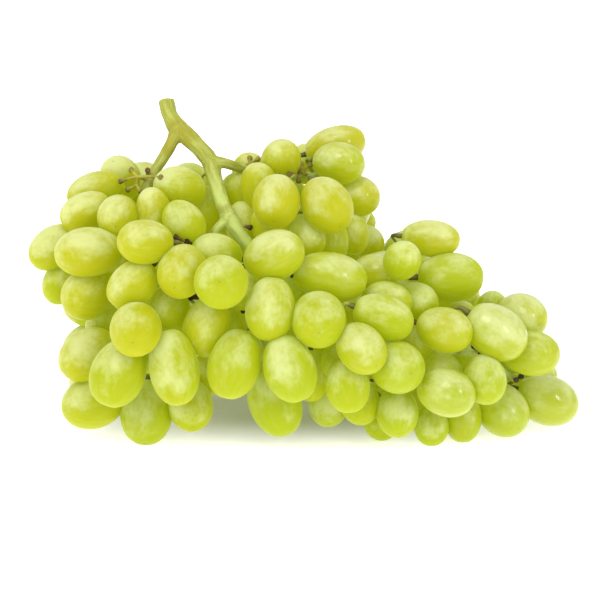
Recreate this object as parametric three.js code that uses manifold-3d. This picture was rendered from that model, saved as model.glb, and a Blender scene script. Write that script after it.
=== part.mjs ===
// A bunch of white table grapes lying as it was set down: a branching stem and some hundred and fifty
// berries. Millimetres, +Z up, the bunch rests on z = 0 and is looked at along +Y.
//
// Berries that show from the front are laid out by hand in a sheet square to the line of sight, with a
// depth each. The hidden side follows a few hand-chosen rows. Then the berries settle: they push each other
// apart, stay pressed together within their spray, and keep clear of the stem. Last, a pedicel grows from
// the stem to each berry that one can reach between the others. Neighbours hold the rest.
import * as THREE from 'three';
import { mergeVertices } from 'three/addons/utils/BufferGeometryUtils.js';
import Module from 'manifold-3d';

const wasm = await Module();
wasm.setup();

// ---- driving dimensions -------------------------------------------------------------------------
const EYE_DISTANCE = 600;         // from the eye to the middle of the bunch
const EYE_ANGLE = 12;             // degrees that the line of sight looks down
const SIGHT_HEIGHT = 44;          // where the line of sight meets the middle plane, above the surface
const MIDDLE = [1.5, -18.84];    // middle of the bunch's box from the line of sight, x and y
const BERRY_SHAPE = 1.28;         // least length over width of a berry
const BACK_HALF_LENGTH = 12.2;
const BACK_HALF_WIDTH = 9.8;
const BACK_STEP = 25;             // between the berries of a hidden row
const CORE = [-10, -16, 48];      // berries on the hidden side point away from here
const PRESS = 0.8;                // most that two berries of a spray are pressed into each other
const TOUCH = 1.2;                // how far the berries that hold a spray together are pressed
const APART = 0.8;                // between berries of different sprays
const STEM_CLEAR = 0.6;           // between a berry and a stem
const SINK = 0.5;                 // how far the lowest berries flatten on the surface
const ROUNDS = 300;               // of settling
const PEDICEL_RADIUS = 0.7;
const NECK_RADIUS = 1;            // of a pedicel's end under its berry
const BARE_RADIUS = 0.8;          // of a bare pedicel
const FLARE_RADIUS = 1.5;         // of its dried end
const NECK_GAP = 1.5;             // between a pedicel's end and its berry
const WAY_CLEAR = 0.6;            // between a pedicel's bend and the berries, where there is room
const BEND_DEPTHS = [2.5, 5, 8];  // of that bend behind the pedicel's end
const ROOTS_TRIED = 8;            // for each bend
const WAY_STATIONS = [0.15, 0.3, 0.45, 0.6, 0.75, 0.9];
const CROSSING_MARGIN = 0.4;      // around a pedicel, counted as crossing
const CROSSING_COST = 4;          // millimetres of way that a millimetre inside a berry is worth
const BEND_COST = 5;              // and that a bend is worth
const SHOWING_COST = 1;           // and that a millimetre in open view is worth
const MOST_CROSSED = 0.3;         // a berry whose pedicel would cross more than this gets none
const MOST_SHOWING = 7;           // nor does one whose pedicel would show along more than this
const LONGEST_HIDDEN = 12;        // nor does a hidden berry farther than this from a stem
const NEIGHBOURHOOD = 40;         // around a pedicel's end, where berries can be in its way
const NODE_GAP = 0.35;            // cut between solids that would touch
// sides of a faceted berry, and how much larger it is, so that its faces average the true size
const SHOWN_FACETS = { sides: 7, growth: 1.05 };
const HIDDEN_FACETS = { sides: 6, growth: 1.075 };
const BERRY_RINGS = 5;
const WELD = 0.01;                // vertices closer than this are one
const SEED = 5;

// ---- the berries that show, spray by spray ------------------------------------------------------
// across, up, half length, half width and lean (degrees of the free end, 0 right, 90 up) in the sheet
// square to the line of sight through the middle of the bunch; then depth, negative towards the eye.
const SHOWN = {
  left_wing: [
    [-71, 49, 9, 8, 110, 5], [-82, 43.5, 12, 8, 200, -12], [-86.5, 35, 11, 8, 205, -30],
    [-73, 34, 9, 8.5, -90, -38], [-62.5, 24, 11, 9, 180, -60], [-58, 35, 10, 7, 100, -36],
    [-85, 18.5, 14, 10, 185, -46], [-99, 21, 11, 8, 220, -25], [-96, 6.5, 8.5, 7, -100, -25],
    [-85.5, 1, 11, 10, 225, -40], [-67, 6, 11.5, 9, 225, -58], [-47, 11, 11, 10, -110, -62],
    [-32, 17.5, 10.5, 8.5, 170, -50], [-31, 7, 11, 11, -90, -76], [-47, 45.5, 10.5, 8.5, 170, -20],
    [-48, 33, 10, 8, -50, -42], [-37, 36, 10, 7, -80, -18], [-66, -11, 11, 10.5, -90, -74],
    [-52, -3, 10, 9, -90, -46], [-37, -10.5, 12.5, 9.5, -105, -60], [-50, -27.5, 15.5, 10, -80, -68],
    [-73, -29.5, 14, 11, -110, -66], [-85, -19.5, 12, 10, 220, -45], [-82, -43, 12.5, 10.5, 195, -46],
    [-62, -45, 13, 10.5, -90, -46], [-43, -41.5, 10.5, 9, -80, -46], [-36, -29, 9, 8, -90, -40],
    [-25.5, -25, 14.5, 10.5, -105, -72],
    // in the gaps between those
    [-56, 21.5, 9, 7.5, -90, -32], [-73, 19, 9, 7.5, -90, -26], [-21.5, 4, 9.5, 7.5, -90, -48],
    [-78, -9, 9, 7.5, -120, -40], [-83.5, -32, 9, 8, -130, -30], [-60.5, -21, 9.5, 7.5, -90, -52],
    [-26, -10, 9, 7.5, -90, -38], [-44, -11, 8.5, 7, -90, -40], [-21.5, -21, 8, 7, -90, -46],
  ],
  right_wing: [
    [-7.5, 56, 8.5, 8, 60, -12], [-9.5, 39.5, 11, 9.5, -95, -38], [10.5, 38, 12, 10, -60, -38],
    [15, 55, 10.5, 8.5, -10, -14], [14, 61.5, 12.5, 8, 15, 0], [23.5, 42.5, 9, 8, -30, -8],
    [2, 25, 9, 7.5, -60, -34], [13, 24, 9, 7, -80, -24], [21, 25.5, 8.5, 7, -85, -16],
    [27, 23.5, 7, 6.5, -60, 4], [23, 30, 7, 6, 20, 16], [-20.5, 51.5, 7.5, 7, 90, 6],
    [-24, 43, 9, 7, 110, -12], [-17.5, 43, 10, 7.5, 95, -20], [-23, 33, 9, 7, -90, -28],
    [-10.5, 18.5, 12.5, 10, 20, -60], [-13, -4.5, 13, 10, -95, -68], [-4.5, -27.5, 14, 10.5, -70, -72],
    [-12.5, -41, 15, 10.5, -70, -56], [8, -8, 11.5, 11, -90, -70], [12.5, 9.5, 15, 10, -10, -55],
    [25, -18, 11, 9.5, -50, -72], [19, -35, 11.5, 9, -85, -68], [39, -27, 11, 10.5, -20, -66],
    [40, -45, 10, 8.5, -90, -58], [11, -41, 9.5, 8, -90, -44], [23, -40, 9.5, 8, -80, -52],
    [32.5, -47.5, 8.5, 7.5, -90, -44], [6, -29, 10.5, 7.5, -90, -46], [15.5, -24, 8, 7, -90, -50],
    [33, -7, 12.5, 9, -20, -58], [37, -1, 10, 8, -15, -48], [45, -1, 9, 8, -20, -42],
    [30, 11, 9.5, 8, -10, -40], [40.5, 15.5, 8, 7.5, 60, -44], [52, 25, 12, 7.5, -5, -30],
    [60, 8.5, 13.5, 10, 0, -38], [46, -15, 9, 7.5, -60, -46],
    // in the gaps between those
    [-27, 31, 9.5, 8, -70, -12], [-12, 29.5, 9, 7.5, -60, -36], [3, 15, 9, 7.5, -60, -34],
    [-3, 7, 9.5, 8, -80, -46], [18.5, -2.5, 9, 7.5, -80, -44], [49.5, -21, 9, 7, -70, -34],
    [43, 6.5, 9, 7.5, -60, -20], [2, 54.5, 8, 7, 80, 12],
  ],
  tail: [
    [56, -12, 11, 9, -15, -52], [56.5, -28.5, 8.5, 7.5, -60, -48], [57, -37, 11.5, 9.5, -15, -60],
    [65, -21, 9, 7.5, -60, -30], [79.5, -12, 13.5, 10.5, -35, -52], [75, -32, 10, 8.5, -85, -58],
    [88, -8, 10, 9.2, -30, -26], [77, -4, 7.5, 6.5, 90, -18], [92.5, -21, 11, 9, -5, -40],
    [99, -40, 13, 10, -20, -34], [95, -29.5, 7.5, 6.5, -20, -18], [82, -43.5, 11.5, 10, -50, -41],
    [65, -47.5, 10.5, 7.5, -90, -46], [51, -51, 8.5, 7, -90, -52], [73.5, -5.5, 7.5, 6.5, 60, -10],
    [64, -9, 8, 7, 80, -24],
    // in the gaps between those
    [69, -40, 9, 7.5, -80, -28], [79, -21, 9, 7.5, -60, -34],
  ],
};

// ---- the hidden side ----------------------------------------------------------------------------
// rows of height, left end, right end, depth at the left end, in the middle and at the right end
const BACK_ROWS = [
  [9.5, -76, 80, 10, 22, -12], [26.5, -84, 82, 6, 32, -14], [44, -84, 66, 6, 36, -8],
  [61, -80, 46, 8, 34, 4], [77, -74, 20, 8, 28, 14],
];
// inside the heap, from a coarser row
const INNER_ROWS = [[34, -64, 56, 0, 6, -10], [54, -64, 36, -2, 4, -4]];
const INNER_STEP = 30;
// on top behind the stem, and on the surface under the heap
const SINGLE_BERRIES = [
  [-64, 14, 83], [-46, 14, 84], [-4, 4, 88], [14, 20, 84], [-24, 22, 84], [-66, -12, 9.5],
  [20, -18, 9.5], [48, -18, 9.5],
];
const LEFT_WING_END = -24;        // a hidden berry left of this belongs to the left wing
const TAIL_START = 52;            // and right of this to the tail

// ---- the stem -----------------------------------------------------------------------------------
// across, up and depth as above, then the radius
const STEM = {
  axis: [
    [-53.6, 79.5, -6, 3.1], [-52.2, 74.5, -8, 3.1], [-48.5, 68.5, -10, 3.7], [-44.5, 65, -12, 3.6],
    [-40.5, 61, -14, 3.2], [-36, 55, -17, 3.2], [-34, 48, -22, 2.8], [-31.5, 40, -27, 2.7],
    [-28.5, 33, -31, 2.9], [-23.5, 26, -35, 2.4], [-14, 13, -34, 2.3], [-2, 2, -30, 2.2],
    [16, -8, -24, 2.2], [36, -15, -24, 2], [56, -20, -30, 1.8], [71, -21, -38, 1.6], [80, -27, -38, 1.3],
    [86, -32, -38, 1.2],
  ],
  left_branch: [
    [-48.5, 68.5, -10, 3.2], [-51.3, 62.5, -12, 2.4], [-55, 56, -14, 2.1], [-59, 50, -17, 2.1],
    [-61.5, 44, -19, 2.2], [-64, 34, -18, 2], [-70, 22, -14, 1.8], [-80, 12, -14, 1.5],
  ],
  right_branch: [
    [-36, 55, -17, 2.4], [-31, 55, -17, 2.2], [-27, 54, -15, 1.9], [-21, 52, -9, 1.7],
    [-12, 49.5, -1, 1.5], [-3, 49, 0, 1.4], [3, 50, -6, 1.3], [8, 50, -8, 1.1],
  ],
  lower_left_front: [
    [-28.5, 33, -31, 1.8], [-34.5, 26, -34, 1.6], [-34, 8, -38, 1.5], [-43, -13, -36, 1.4],
    [-54, -32, -34, 1.2],
  ],
  lower_left_back: [[-34, 8, -38, 1.5], [-42, 0, -14, 1.5], [-60, -14, -4, 1.4], [-76, -26, -2, 1.2]],
  middle_down: [[-14, 13, -34, 1.7], [-14, -10, -42, 1.4], [-14, -28, -44, 1.2]],
  right_down: [[16, -8, -24, 1.6], [20, -20, -38, 1.4], [24, -32, -38, 1.2]],
  back_down: [[-2, 2, -30, 1.7], [2, -12, 4, 1.5], [-4, -28, 10, 1.2]],
  upper_right: [[36, -15, -24, 1.6], [42, 2, -16, 1.4], [44, 17, -20, 1.2]],
  tail_up: [[71, -21, -38, 1.3], [84, -16, -16, 1.2], [92, -26, -12, 1]],
  tail_down: [[56, -20, -30, 1.5], [66, -34, -32, 1.2], [60, -44, -30, 1]],
};
// bare pedicels whose berries have dropped: across, up and depth of the root and of the flared end
const BARE_PEDICELS = [
  [[-61, 47.5, -19], [-72.5, 47.5, -13]], [[-65, 48.5, -17], [-67.5, 53, -14]],
  [[-61, 48, -19], [-55, 49.5, -19]], [[-65, 48.5, -17], [-65.5, 41, -21]],
  [[-68, 48, -16], [-70.5, 43.5, -18]], [[-64.5, 46, -19], [-62, 41.5, -24]],
  [[-23, 52.5, -11], [-20, 57, -5]], [[-23, 52.5, -11], [-16.5, 56.5, -5]],
  [[-21.5, 53.5, -9], [-16.5, 54, -8]], [[3, 50, -6], [0.5, 55, -9]], [[3, 50, -6], [4.5, 54, -12]],
  [[3, 50, -6], [1.5, 46.5, -13]], [[1, 50, -5], [-1.5, 50, -12]], [[-35, 25.5, -34], [-46, 24, -43]],
  [[-41, 21.5, -40], [-50, 24.5, -44]], [[71, -21, -38], [69.5, -18.5, -46]],
  [[71, -21, -38], [75, -22.5, -46]], [[86, -32, -38], [86.5, -32, -47]],
  [[86, -32, -38], [88.5, -30.5, -45]],
];

// ---- vectors ------------------------------------------------------------------------------------
const add = (a, b, k = 1) => [a[0] + b[0] * k, a[1] + b[1] * k, a[2] + b[2] * k];
const sub = (a, b) => [a[0] - b[0], a[1] - b[1], a[2] - b[2]];
const mul = (a, k) => [a[0] * k, a[1] * k, a[2] * k];
const dot = (a, b) => a[0] * b[0] + a[1] * b[1] + a[2] * b[2];
const length = (a) => Math.sqrt(dot(a, a));
const unit = (a) => mul(a, 1 / length(a));

// ---- the sheet square to the line of sight ------------------------------------------------------
const tiltDown = EYE_ANGLE * Math.PI / 180;
const ACROSS = [1, 0, 0];
const UP = [0, Math.sin(tiltDown), Math.cos(tiltDown)];
const TOWARDS = [0, -Math.cos(tiltDown), Math.sin(tiltDown)];
const MEETING = [0, 0, SIGHT_HEIGHT];
const EYE = add(MEETING, TOWARDS, EYE_DISTANCE);

/** The point at a depth on the line from the eye through a place in the sheet, and the scale there. */
function sighted(across, up, depth) {
  const line = sub(add(add(MEETING, ACROSS, across), UP, up), EYE);
  const scale = (depth - EYE[1]) / line[1];
  return { point: add(EYE, line, scale), scale };
}

/** Seeded random numbers. */
function makeDraw(seed) {
  let state = seed;
  return (low, high) => {
    state = (Math.imul(state, 1664525) + 1013904223) >>> 0;
    return low + (high - low) * state / 4294967296;
  };
}

// ---- berries ------------------------------------------------------------------------------------
/** Berries of the list: one shorter in the sheet than its real shape points towards the eye. */
function shownBerries() {
  const berries = [];
  for (const [spray, rows] of Object.entries(SHOWN)) {
    for (const [across, up, halfLength, halfWidth, lean, depth] of rows) {
      const { point, scale } = sighted(across, up, depth);
      const b = halfWidth * scale;
      let a = halfLength * scale;
      let tilt = 0;
      if (a < BERRY_SHAPE * b) {
        const whole = BERRY_SHAPE * b;
        tilt = Math.acos(Math.sqrt(Math.max(0, (a * a - b * b) / (whole * whole - b * b))));
        a = whole;
      }
      const turn = lean * Math.PI / 180;
      const flat = add(mul(ACROSS, Math.cos(turn)), UP, Math.sin(turn));
      const axis = add(mul(flat, Math.cos(tilt)), TOWARDS, Math.sin(tilt));
      berries.push({ spray, centre: point, home: point, a, b, axis, sight: unit(sub(point, EYE)) });
    }
  }
  return berries;
}

/** Berries of the hidden rows, pointing away from the core. */
function hiddenBerries(draw) {
  const berries = [];
  const put = (x, y, z, spread) => {
    const size = draw(0.92, 1.06);
    const dx = draw(-spread, spread);
    const dy = draw(-spread, spread);
    const dz = draw(-spread, spread);
    const centre = [x + dx, y + dy, z > 12 ? z + dz : z];
    const ax = draw(-0.6, 0.6) + (x - CORE[0]) / 160;
    const ay = (y - CORE[1]) / 30 + draw(-0.4, 0.4);
    const az = (z - CORE[2]) / 45 + draw(-0.5, 0.2);
    const spray = x < LEFT_WING_END ? 'left_wing' : x < TAIL_START ? 'right_wing' : 'tail';
    const a = BACK_HALF_LENGTH * size;
    const b = BACK_HALF_WIDTH * size;
    berries.push({ spray, centre, home: centre, a, b, axis: unit([ax, ay, az]) });
  };
  const putRows = (rows, step) => {
    for (const [z, left, right, leftDepth, middleDepth, rightDepth] of rows) {
      const places = Math.round((right - left) / step);
      for (let i = 0; i <= places; i++) {
        const t = i / places;
        const bow = 1 - (2 * t - 1) ** 2;
        const straight = leftDepth + (rightDepth - leftDepth) * t;
        const y = straight + (middleDepth - (leftDepth + rightDepth) / 2) * bow;
        put(left + (right - left) * t, y, z, 2.5);
      }
    }
  };
  putRows(BACK_ROWS, BACK_STEP);
  putRows(INNER_ROWS, INNER_STEP);
  for (const [x, y, z] of SINGLE_BERRIES) put(x, y, z, 1);
  return berries;
}

/** Distance from a berry's centre to its skin in a direction. */
function reach(berry, n) {
  const c = dot(berry.axis, n);
  return 1 / Math.sqrt(c * c / (berry.a * berry.a) + (1 - c * c) / (berry.b * berry.b));
}

function gapBetween(one, other) {
  const d = sub(other.centre, one.centre);
  const distance = length(d);
  const n = mul(d, 1 / distance);
  return [distance - reach(one, n) - reach(other, n), n];
}

function lowest(berry) {
  const down = berry.axis[2];
  return berry.centre[2] - Math.sqrt((berry.a * down) ** 2 + berry.b ** 2 * (1 - down * down));
}

function nearestOn(p, from, to) {
  const line = sub(to, from);
  const k = Math.min(1, Math.max(0, dot(sub(p, from), line) / dot(line, line)));
  return [add(from, line, k), k];
}

function closePairs(berries) {
  const pairs = [];
  for (let j = 0; j < berries.length; j++) {
    for (let i = 0; i < j; i++) {
      const limit = berries[i].a + berries[j].a + 8;
      const d = sub(berries[j].centre, berries[i].centre);
      if (dot(d, d) < limit * limit) pairs.push([i, j]);
    }
  }
  return pairs;
}

/** The shortest links that join every spray into one piece. */
function holdingLinks(berries, pairs) {
  const rows = pairs.filter(([i, j]) => berries[i].spray === berries[j].spray)
    .map(([i, j]) => [gapBetween(berries[i], berries[j])[0], i, j])
    .sort((p, q) => p[0] - q[0] || p[1] - q[1] || p[2] - q[2]);
  const lead = berries.map((_, i) => i);
  const head = (i) => {
    let k = i;
    while (lead[k] !== k) k = lead[k];
    return k;
  };
  const links = [];
  for (const [, i, j] of rows) {
    const p = head(i);
    const q = head(j);
    if (p !== q) {
      lead[p] = q;
      links.push([i, j]);
    }
  }
  return links;
}

/** A shown berry moves freely only along its line of sight. */
function eased(berry, move, sideways) {
  if (!berry.sight) return move;
  return add(mul(move, sideways), berry.sight, dot(move, berry.sight) * (1 - sideways));
}

function settle(berries, stems) {
  let pairs, links, held, beside;
  for (let round = 0; round < ROUNDS; round++) {
    if (round % 20 === 0) {
      pairs = closePairs(berries);
      links = holdingLinks(berries, pairs);
      held = new Set(links.map(([i, j]) => i * berries.length + j));
      beside = [];
      berries.forEach((berry, i) => {
        for (const stem of stems) {
          const near = nearestOn(berry.centre, stem.from, stem.to)[0];
          if (length(sub(near, berry.centre)) < berry.a + stem.r0 + 8) beside.push([i, stem]);
        }
      });
    }
    const moves = berries.map(() => [0, 0, 0]);
    for (const [i, j] of pairs) {
      const [gap, n] = gapBetween(berries[i], berries[j]);
      let least = berries[i].spray === berries[j].spray ? -PRESS : APART;
      if (held.has(i * berries.length + j)) least = -TOUCH;
      if (gap < least) {
        const half = (least - gap) * 0.5;
        moves[i] = add(moves[i], eased(berries[i], mul(n, -half), 0.25));
        moves[j] = add(moves[j], eased(berries[j], mul(n, half), 0.25));
      }
    }
    for (const [i, j] of links) {
      const [gap, n] = gapBetween(berries[i], berries[j]);
      if (gap > -TOUCH) {
        const pull = Math.min(1, gap + TOUCH) * 0.8;
        moves[i] = add(moves[i], eased(berries[i], mul(n, pull), 0.6));
        moves[j] = add(moves[j], eased(berries[j], mul(n, -pull), 0.6));
      }
    }
    for (const [i, stem] of beside) {
      const berry = berries[i];
      const [near, k] = nearestOn(berry.centre, stem.from, stem.to);
      const d = sub(berry.centre, near);
      const distance = length(d);
      const n = mul(d, 1 / distance);
      const gap = distance - reach(berry, n) - (stem.r0 + (stem.r1 - stem.r0) * k) - STEM_CLEAR;
      if (gap < 0) moves[i] = add(moves[i], eased(berry, mul(n, -gap * 0.8), 0.3));
    }
    berries.forEach((berry, i) => {
      const back = sub(berry.home, berry.centre);
      const homing = berry.sight
        ? add(mul(back, 0.05), berry.sight, dot(back, berry.sight) * (0.01 - 0.05))
        : mul(back, 0.01);
      berry.centre = add(berry.centre, add(moves[i], homing), 0.7);
      const low = lowest(berry);
      if (low < -SINK) berry.centre = add(berry.centre, [0, 0, -SINK - low]);
    });
  }
}

// ---- pedicels -----------------------------------------------------------------------------------
/** How deep a point lies inside the berries grown by a margin. */
function buried(p, berries, margin) {
  let depth = 0;
  for (const berry of berries) {
    const d = sub(p, berry.centre);
    const distance = length(d);
    if (distance > berry.a + margin) continue;
    depth += Math.max(0, reach(berry, mul(d, 1 / distance)) + margin - distance);
  }
  return depth;
}

function pushedClear(p, berries, margin) {
  for (let again = 0; again < 3; again++) {
    for (const berry of berries) {
      const d = sub(p, berry.centre);
      const distance = length(d);
      if (distance > berry.a + margin) continue;
      const n = mul(d, 1 / distance);
      const need = reach(berry, n) + margin;
      if (distance < need) p = add(berry.centre, n, need);
    }
  }
  return p;
}

/** How much of a way through some points lies inside the berries, summed over its stations. */
function crossing(way, berries) {
  let sum = 0;
  for (let leg = 1; leg < way.length; leg++) {
    const step = sub(way[leg], way[leg - 1]);
    for (const t of WAY_STATIONS) {
      sum += buried(add(way[leg - 1], step, t), berries, PEDICEL_RADIUS + CROSSING_MARGIN);
    }
  }
  return sum;
}

/** Whether a berry lies between a point and the eye. */
function covered(p, berries) {
  const sight = unit(sub(EYE, p));
  return berries.some((berry) => {
    const d = sub(p, berry.centre);
    const wide = 1 / (berry.b * berry.b);
    const longer = 1 / (berry.a * berry.a) - wide;
    const dAxis = dot(d, berry.axis);
    const sAxis = dot(sight, berry.axis);
    const mixed = dot(d, sight) * wide + dAxis * sAxis * longer;
    const along = wide + sAxis * sAxis * longer;
    return mixed < 0 && mixed * mixed > along * (dot(d, d) * wide + dAxis * dAxis * longer - 1);
  });
}

/** How much of a way shows between the berries, in millimetres. */
function showing(way, berries) {
  let total = 0;
  for (let leg = 1; leg < way.length; leg++) {
    const step = sub(way[leg], way[leg - 1]);
    const seen = WAY_STATIONS.filter((t) => !covered(add(way[leg - 1], step, t), berries)).length;
    total += length(step) * seen / WAY_STATIONS.length;
  }
  return total;
}

/** A pedicel runs from the stem or another pedicel, straight or round a bend, clear of the berries. */
function growPedicels(berries, stems) {
  const grown = [...stems];
  const neckOf = (berry) => add(berry.centre, berry.axis, -(berry.a + NECK_GAP));
  const rootsFor = (end) => grown.map((stem) => {
    const root = nearestOn(end, stem.from, stem.to)[0];
    return [length(sub(root, end)), root];
  }).sort((p, q) => p[0] - q[0]).slice(0, ROOTS_TRIED).map(([, root]) => root);
  const order = berries.map((berry, i) => {
    const neck = neckOf(berry);
    return [Math.min(...stems.map((s) => length(sub(nearestOn(neck, s.from, s.to)[0], neck)))), i];
  }).sort((p, q) => p[0] - q[0] || p[1] - q[1]);
  const pedicels = [];
  for (const [, i] of order) {
    const berry = berries[i];
    const neck = neckOf(berry);
    const around = berries.filter((other) => length(sub(other.centre, neck)) < NEIGHBOURHOOD);
    const ways = rootsFor(neck).map((root) => [root, neck]);
    for (const depth of BEND_DEPTHS) {
      const bend = pushedClear(add(neck, berry.axis, -depth), around, PEDICEL_RADIUS + WAY_CLEAR);
      ways.push(...rootsFor(bend).map((root) => [root, bend, neck]));
    }
    let best = null;
    for (const way of ways) {
      const crossed = crossing(way, around);
      const shown = showing(way, around);
      const cost = length(sub(way[1], way[0])) + BEND_COST * (way.length - 2)
        + CROSSING_COST * crossed + SHOWING_COST * shown;
      if (!best || cost < best.cost) best = { way, crossed, shown, cost };
    }
    const far = !berry.sight && length(sub(best.way[0], neck)) > LONGEST_HIDDEN;
    if (best.crossed > MOST_CROSSED || best.shown > MOST_SHOWING || far) continue;
    grown.push({ from: best.way[0], to: best.way[1], r0: PEDICEL_RADIUS, r1: PEDICEL_RADIUS });
    pedicels.push(best.way);
  }
  return pedicels;
}

// ---- solids -------------------------------------------------------------------------------------
function toSolid(geometry) {
  const bare = geometry.clone();
  bare.deleteAttribute('normal');
  bare.deleteAttribute('uv');
  const merged = mergeVertices(bare, 1e-5);
  return new wasm.Manifold(new wasm.Mesh({
    numProp: 3,
    vertProperties: new Float32Array(merged.attributes.position.array),
    triVerts: new Uint32Array(merged.index.array),
  }));
}

/** The solid's surface, without the slivers that come of vertices closer than WELD. */
function toGeometry(solid) {
  const { vertProperties, triVerts } = solid.getMesh();
  const geometry = new THREE.BufferGeometry();
  geometry.setAttribute('position', new THREE.BufferAttribute(new Float32Array(vertProperties), 3));
  geometry.setIndex(new THREE.BufferAttribute(new Uint32Array(triVerts), 1));
  const welded = mergeVertices(geometry, WELD);
  const corners = Array.from(welded.index.array);
  const kept = [];
  for (let i = 0; i < corners.length; i += 3) {
    const [p, q, r] = corners.slice(i, i + 3);
    if (p !== q && q !== r && r !== p) kept.push(p, q, r);
  }
  welded.setIndex(kept);
  welded.computeVertexNormals();
  return welded;
}

/** Joins solids pair by pair. */
function joined(solids) {
  let row = solids;
  while (row.length > 1) {
    const next = [];
    for (let i = 0; i < row.length; i += 2) next.push(i + 1 < row.length ? row[i].add(row[i + 1]) : row[i]);
    row = next;
  }
  return row[0];
}

/** The biggest body of a solid: loose scraps are dropped. */
function biggest(solid) {
  return solid.decompose().reduce((best, piece) => (piece.volume() > best.volume() ? piece : best));
}

function berrySolid(berry, margin = 0) {
  const { sides, growth } = berry.sight ? SHOWN_FACETS : HIDDEN_FACETS;
  const across = berry.b * growth + margin;
  const place = new THREE.Matrix4().compose(
    new THREE.Vector3(...berry.centre),
    new THREE.Quaternion().setFromUnitVectors(new THREE.Vector3(0, 0, 1), new THREE.Vector3(...berry.axis)),
    new THREE.Vector3(across, across, berry.a * growth + margin),
  );
  return toSolid(new THREE.SphereGeometry(1, sides, BERRY_RINGS).rotateX(Math.PI / 2).applyMatrix4(place));
}

/** A cylinder bent along a smooth line through the points, with a radius at every step. */
function tube(points, radiusAt, sides, steps) {
  const curve = new THREE.CatmullRomCurve3(points.map((p) => new THREE.Vector3(...p)), false, 'centripetal');
  const rings = [];
  let side = new THREE.Vector3(0.3, 0.9, 0.2);
  for (let step = 0; step <= steps; step++) {
    const forward = curve.getTangent(step / steps);
    side = side.clone().addScaledVector(forward, -side.dot(forward)).normalize();
    const at = curve.getPoint(step / steps);
    rings.push({ at, side, across: forward.cross(side), radius: radiusAt(step / steps) });
  }
  const geometry = new THREE.CylinderGeometry(1, 1, 1, sides, steps, false);
  const position = geometry.attributes.position;
  for (let i = 0; i < position.count; i++) {
    const ring = rings[Math.round((position.getY(i) + 0.5) * steps)];
    const at = ring.at.clone().addScaledVector(ring.side, position.getZ(i) * ring.radius)
      .addScaledVector(ring.across, position.getX(i) * ring.radius);
    position.setXYZ(i, at.x, at.y, at.z);
  }
  return toSolid(geometry);
}

/** The radius along a stem, straight between its stations. */
function taper(rows) {
  return (t) => {
    const place = t * (rows.length - 1);
    const k = Math.min(rows.length - 2, Math.floor(place));
    return rows[k][3] + (rows[k + 1][3] - rows[k][3]) * (place - k);
  };
}

// ---- the bunch ----------------------------------------------------------------------------------
const stemLines = Object.entries(STEM).map(([name, rows]) => (
  { name, rows: rows.map(([across, up, depth, radius]) => [...sighted(across, up, depth).point, radius]) }
));
const stems = stemLines.flatMap(({ rows }) => rows.slice(1).map((row, i) => (
  { from: rows[i].slice(0, 3), to: row.slice(0, 3), r0: rows[i][3], r1: row[3] }
)));
const berries = [...shownBerries(), ...hiddenBerries(makeDraw(SEED))];
settle(berries, stems);
const pedicels = growPedicels(berries, stems);

const surface = toSolid(new THREE.BoxGeometry(400, 400, 20).translate(0, 0, -10));
const middle = new THREE.Vector3(MIDDLE[0], MIDDLE[1], 0);

function stemSolid() {
  const parts = stemLines.map(({ name, rows }) => {
    const sides = name === 'axis' || name.endsWith('branch') ? 8 : 5;
    return tube(rows.map((row) => row.slice(0, 3)), taper(rows), sides, rows.length);
  });
  for (const way of pedicels) {
    parts.push(tube(way, (t) => (t > 0.99 ? NECK_RADIUS : PEDICEL_RADIUS), 3, way.length - 1));
  }
  for (const ends of BARE_PEDICELS) {
    const points = ends.map(([across, up, depth]) => sighted(across, up, depth).point);
    parts.push(tube(points, (t) => (t > 0.99 ? FLARE_RADIUS : BARE_RADIUS), 3, 1));
  }
  const clearance = joined(berries.map((berry) => berrySolid(berry, NODE_GAP)));
  return biggest(joined(parts).subtract(clearance).subtract(surface));
}

function spraySolid(spray) {
  const own = berries.filter((berry) => berry.spray === spray);
  const touches = (berry) => own.some((one) => gapBetween(one, berry)[0] < APART + NODE_GAP);
  const others = berries.filter((berry) => berry.spray > spray && touches(berry));
  let solid = joined(own.map((berry) => berrySolid(berry))).subtract(surface);
  if (others.length) solid = solid.subtract(joined(others.map((berry) => berrySolid(berry, NODE_GAP))));
  return biggest(solid);
}

function addNode(group, name, solid, material) {
  const mesh = new THREE.Mesh(toGeometry(solid).translate(-middle.x, -middle.y, 0), material);
  mesh.name = name;
  group.add(mesh);
}

const skin = new THREE.MeshStandardMaterial({ color: 0xb7cb3c, roughness: 0.38, metalness: 0 });
const wood = new THREE.MeshStandardMaterial({ color: 0xb9ae5e, roughness: 0.7, metalness: 0 });
const bunch = new THREE.Group();
addNode(bunch, 'stem', stemSolid(), wood);
for (const spray of Object.keys(SHOWN)) addNode(bunch, `berries_${spray}`, spraySolid(spray), skin);

export default bunch;
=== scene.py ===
"""A bunch of white table grapes lying as it was set down: a branching stem, berries and their pedicels."""

import math
from types import SimpleNamespace

import bmesh
import bpy
import numpy as np
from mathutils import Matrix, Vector, noise
from mathutils.kdtree import KDTree


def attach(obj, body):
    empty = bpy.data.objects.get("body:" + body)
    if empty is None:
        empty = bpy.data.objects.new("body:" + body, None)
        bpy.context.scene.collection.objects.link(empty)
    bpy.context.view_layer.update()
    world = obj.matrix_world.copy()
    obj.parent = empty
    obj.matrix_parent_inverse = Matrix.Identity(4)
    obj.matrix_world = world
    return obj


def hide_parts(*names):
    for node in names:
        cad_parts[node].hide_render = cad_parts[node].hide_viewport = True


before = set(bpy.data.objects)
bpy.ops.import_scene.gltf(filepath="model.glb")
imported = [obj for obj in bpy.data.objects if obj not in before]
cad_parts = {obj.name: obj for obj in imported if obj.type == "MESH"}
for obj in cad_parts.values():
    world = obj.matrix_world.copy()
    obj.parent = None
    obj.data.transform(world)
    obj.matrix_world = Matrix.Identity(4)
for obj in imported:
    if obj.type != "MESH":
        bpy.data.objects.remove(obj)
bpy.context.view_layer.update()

MM = 0.001
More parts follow.
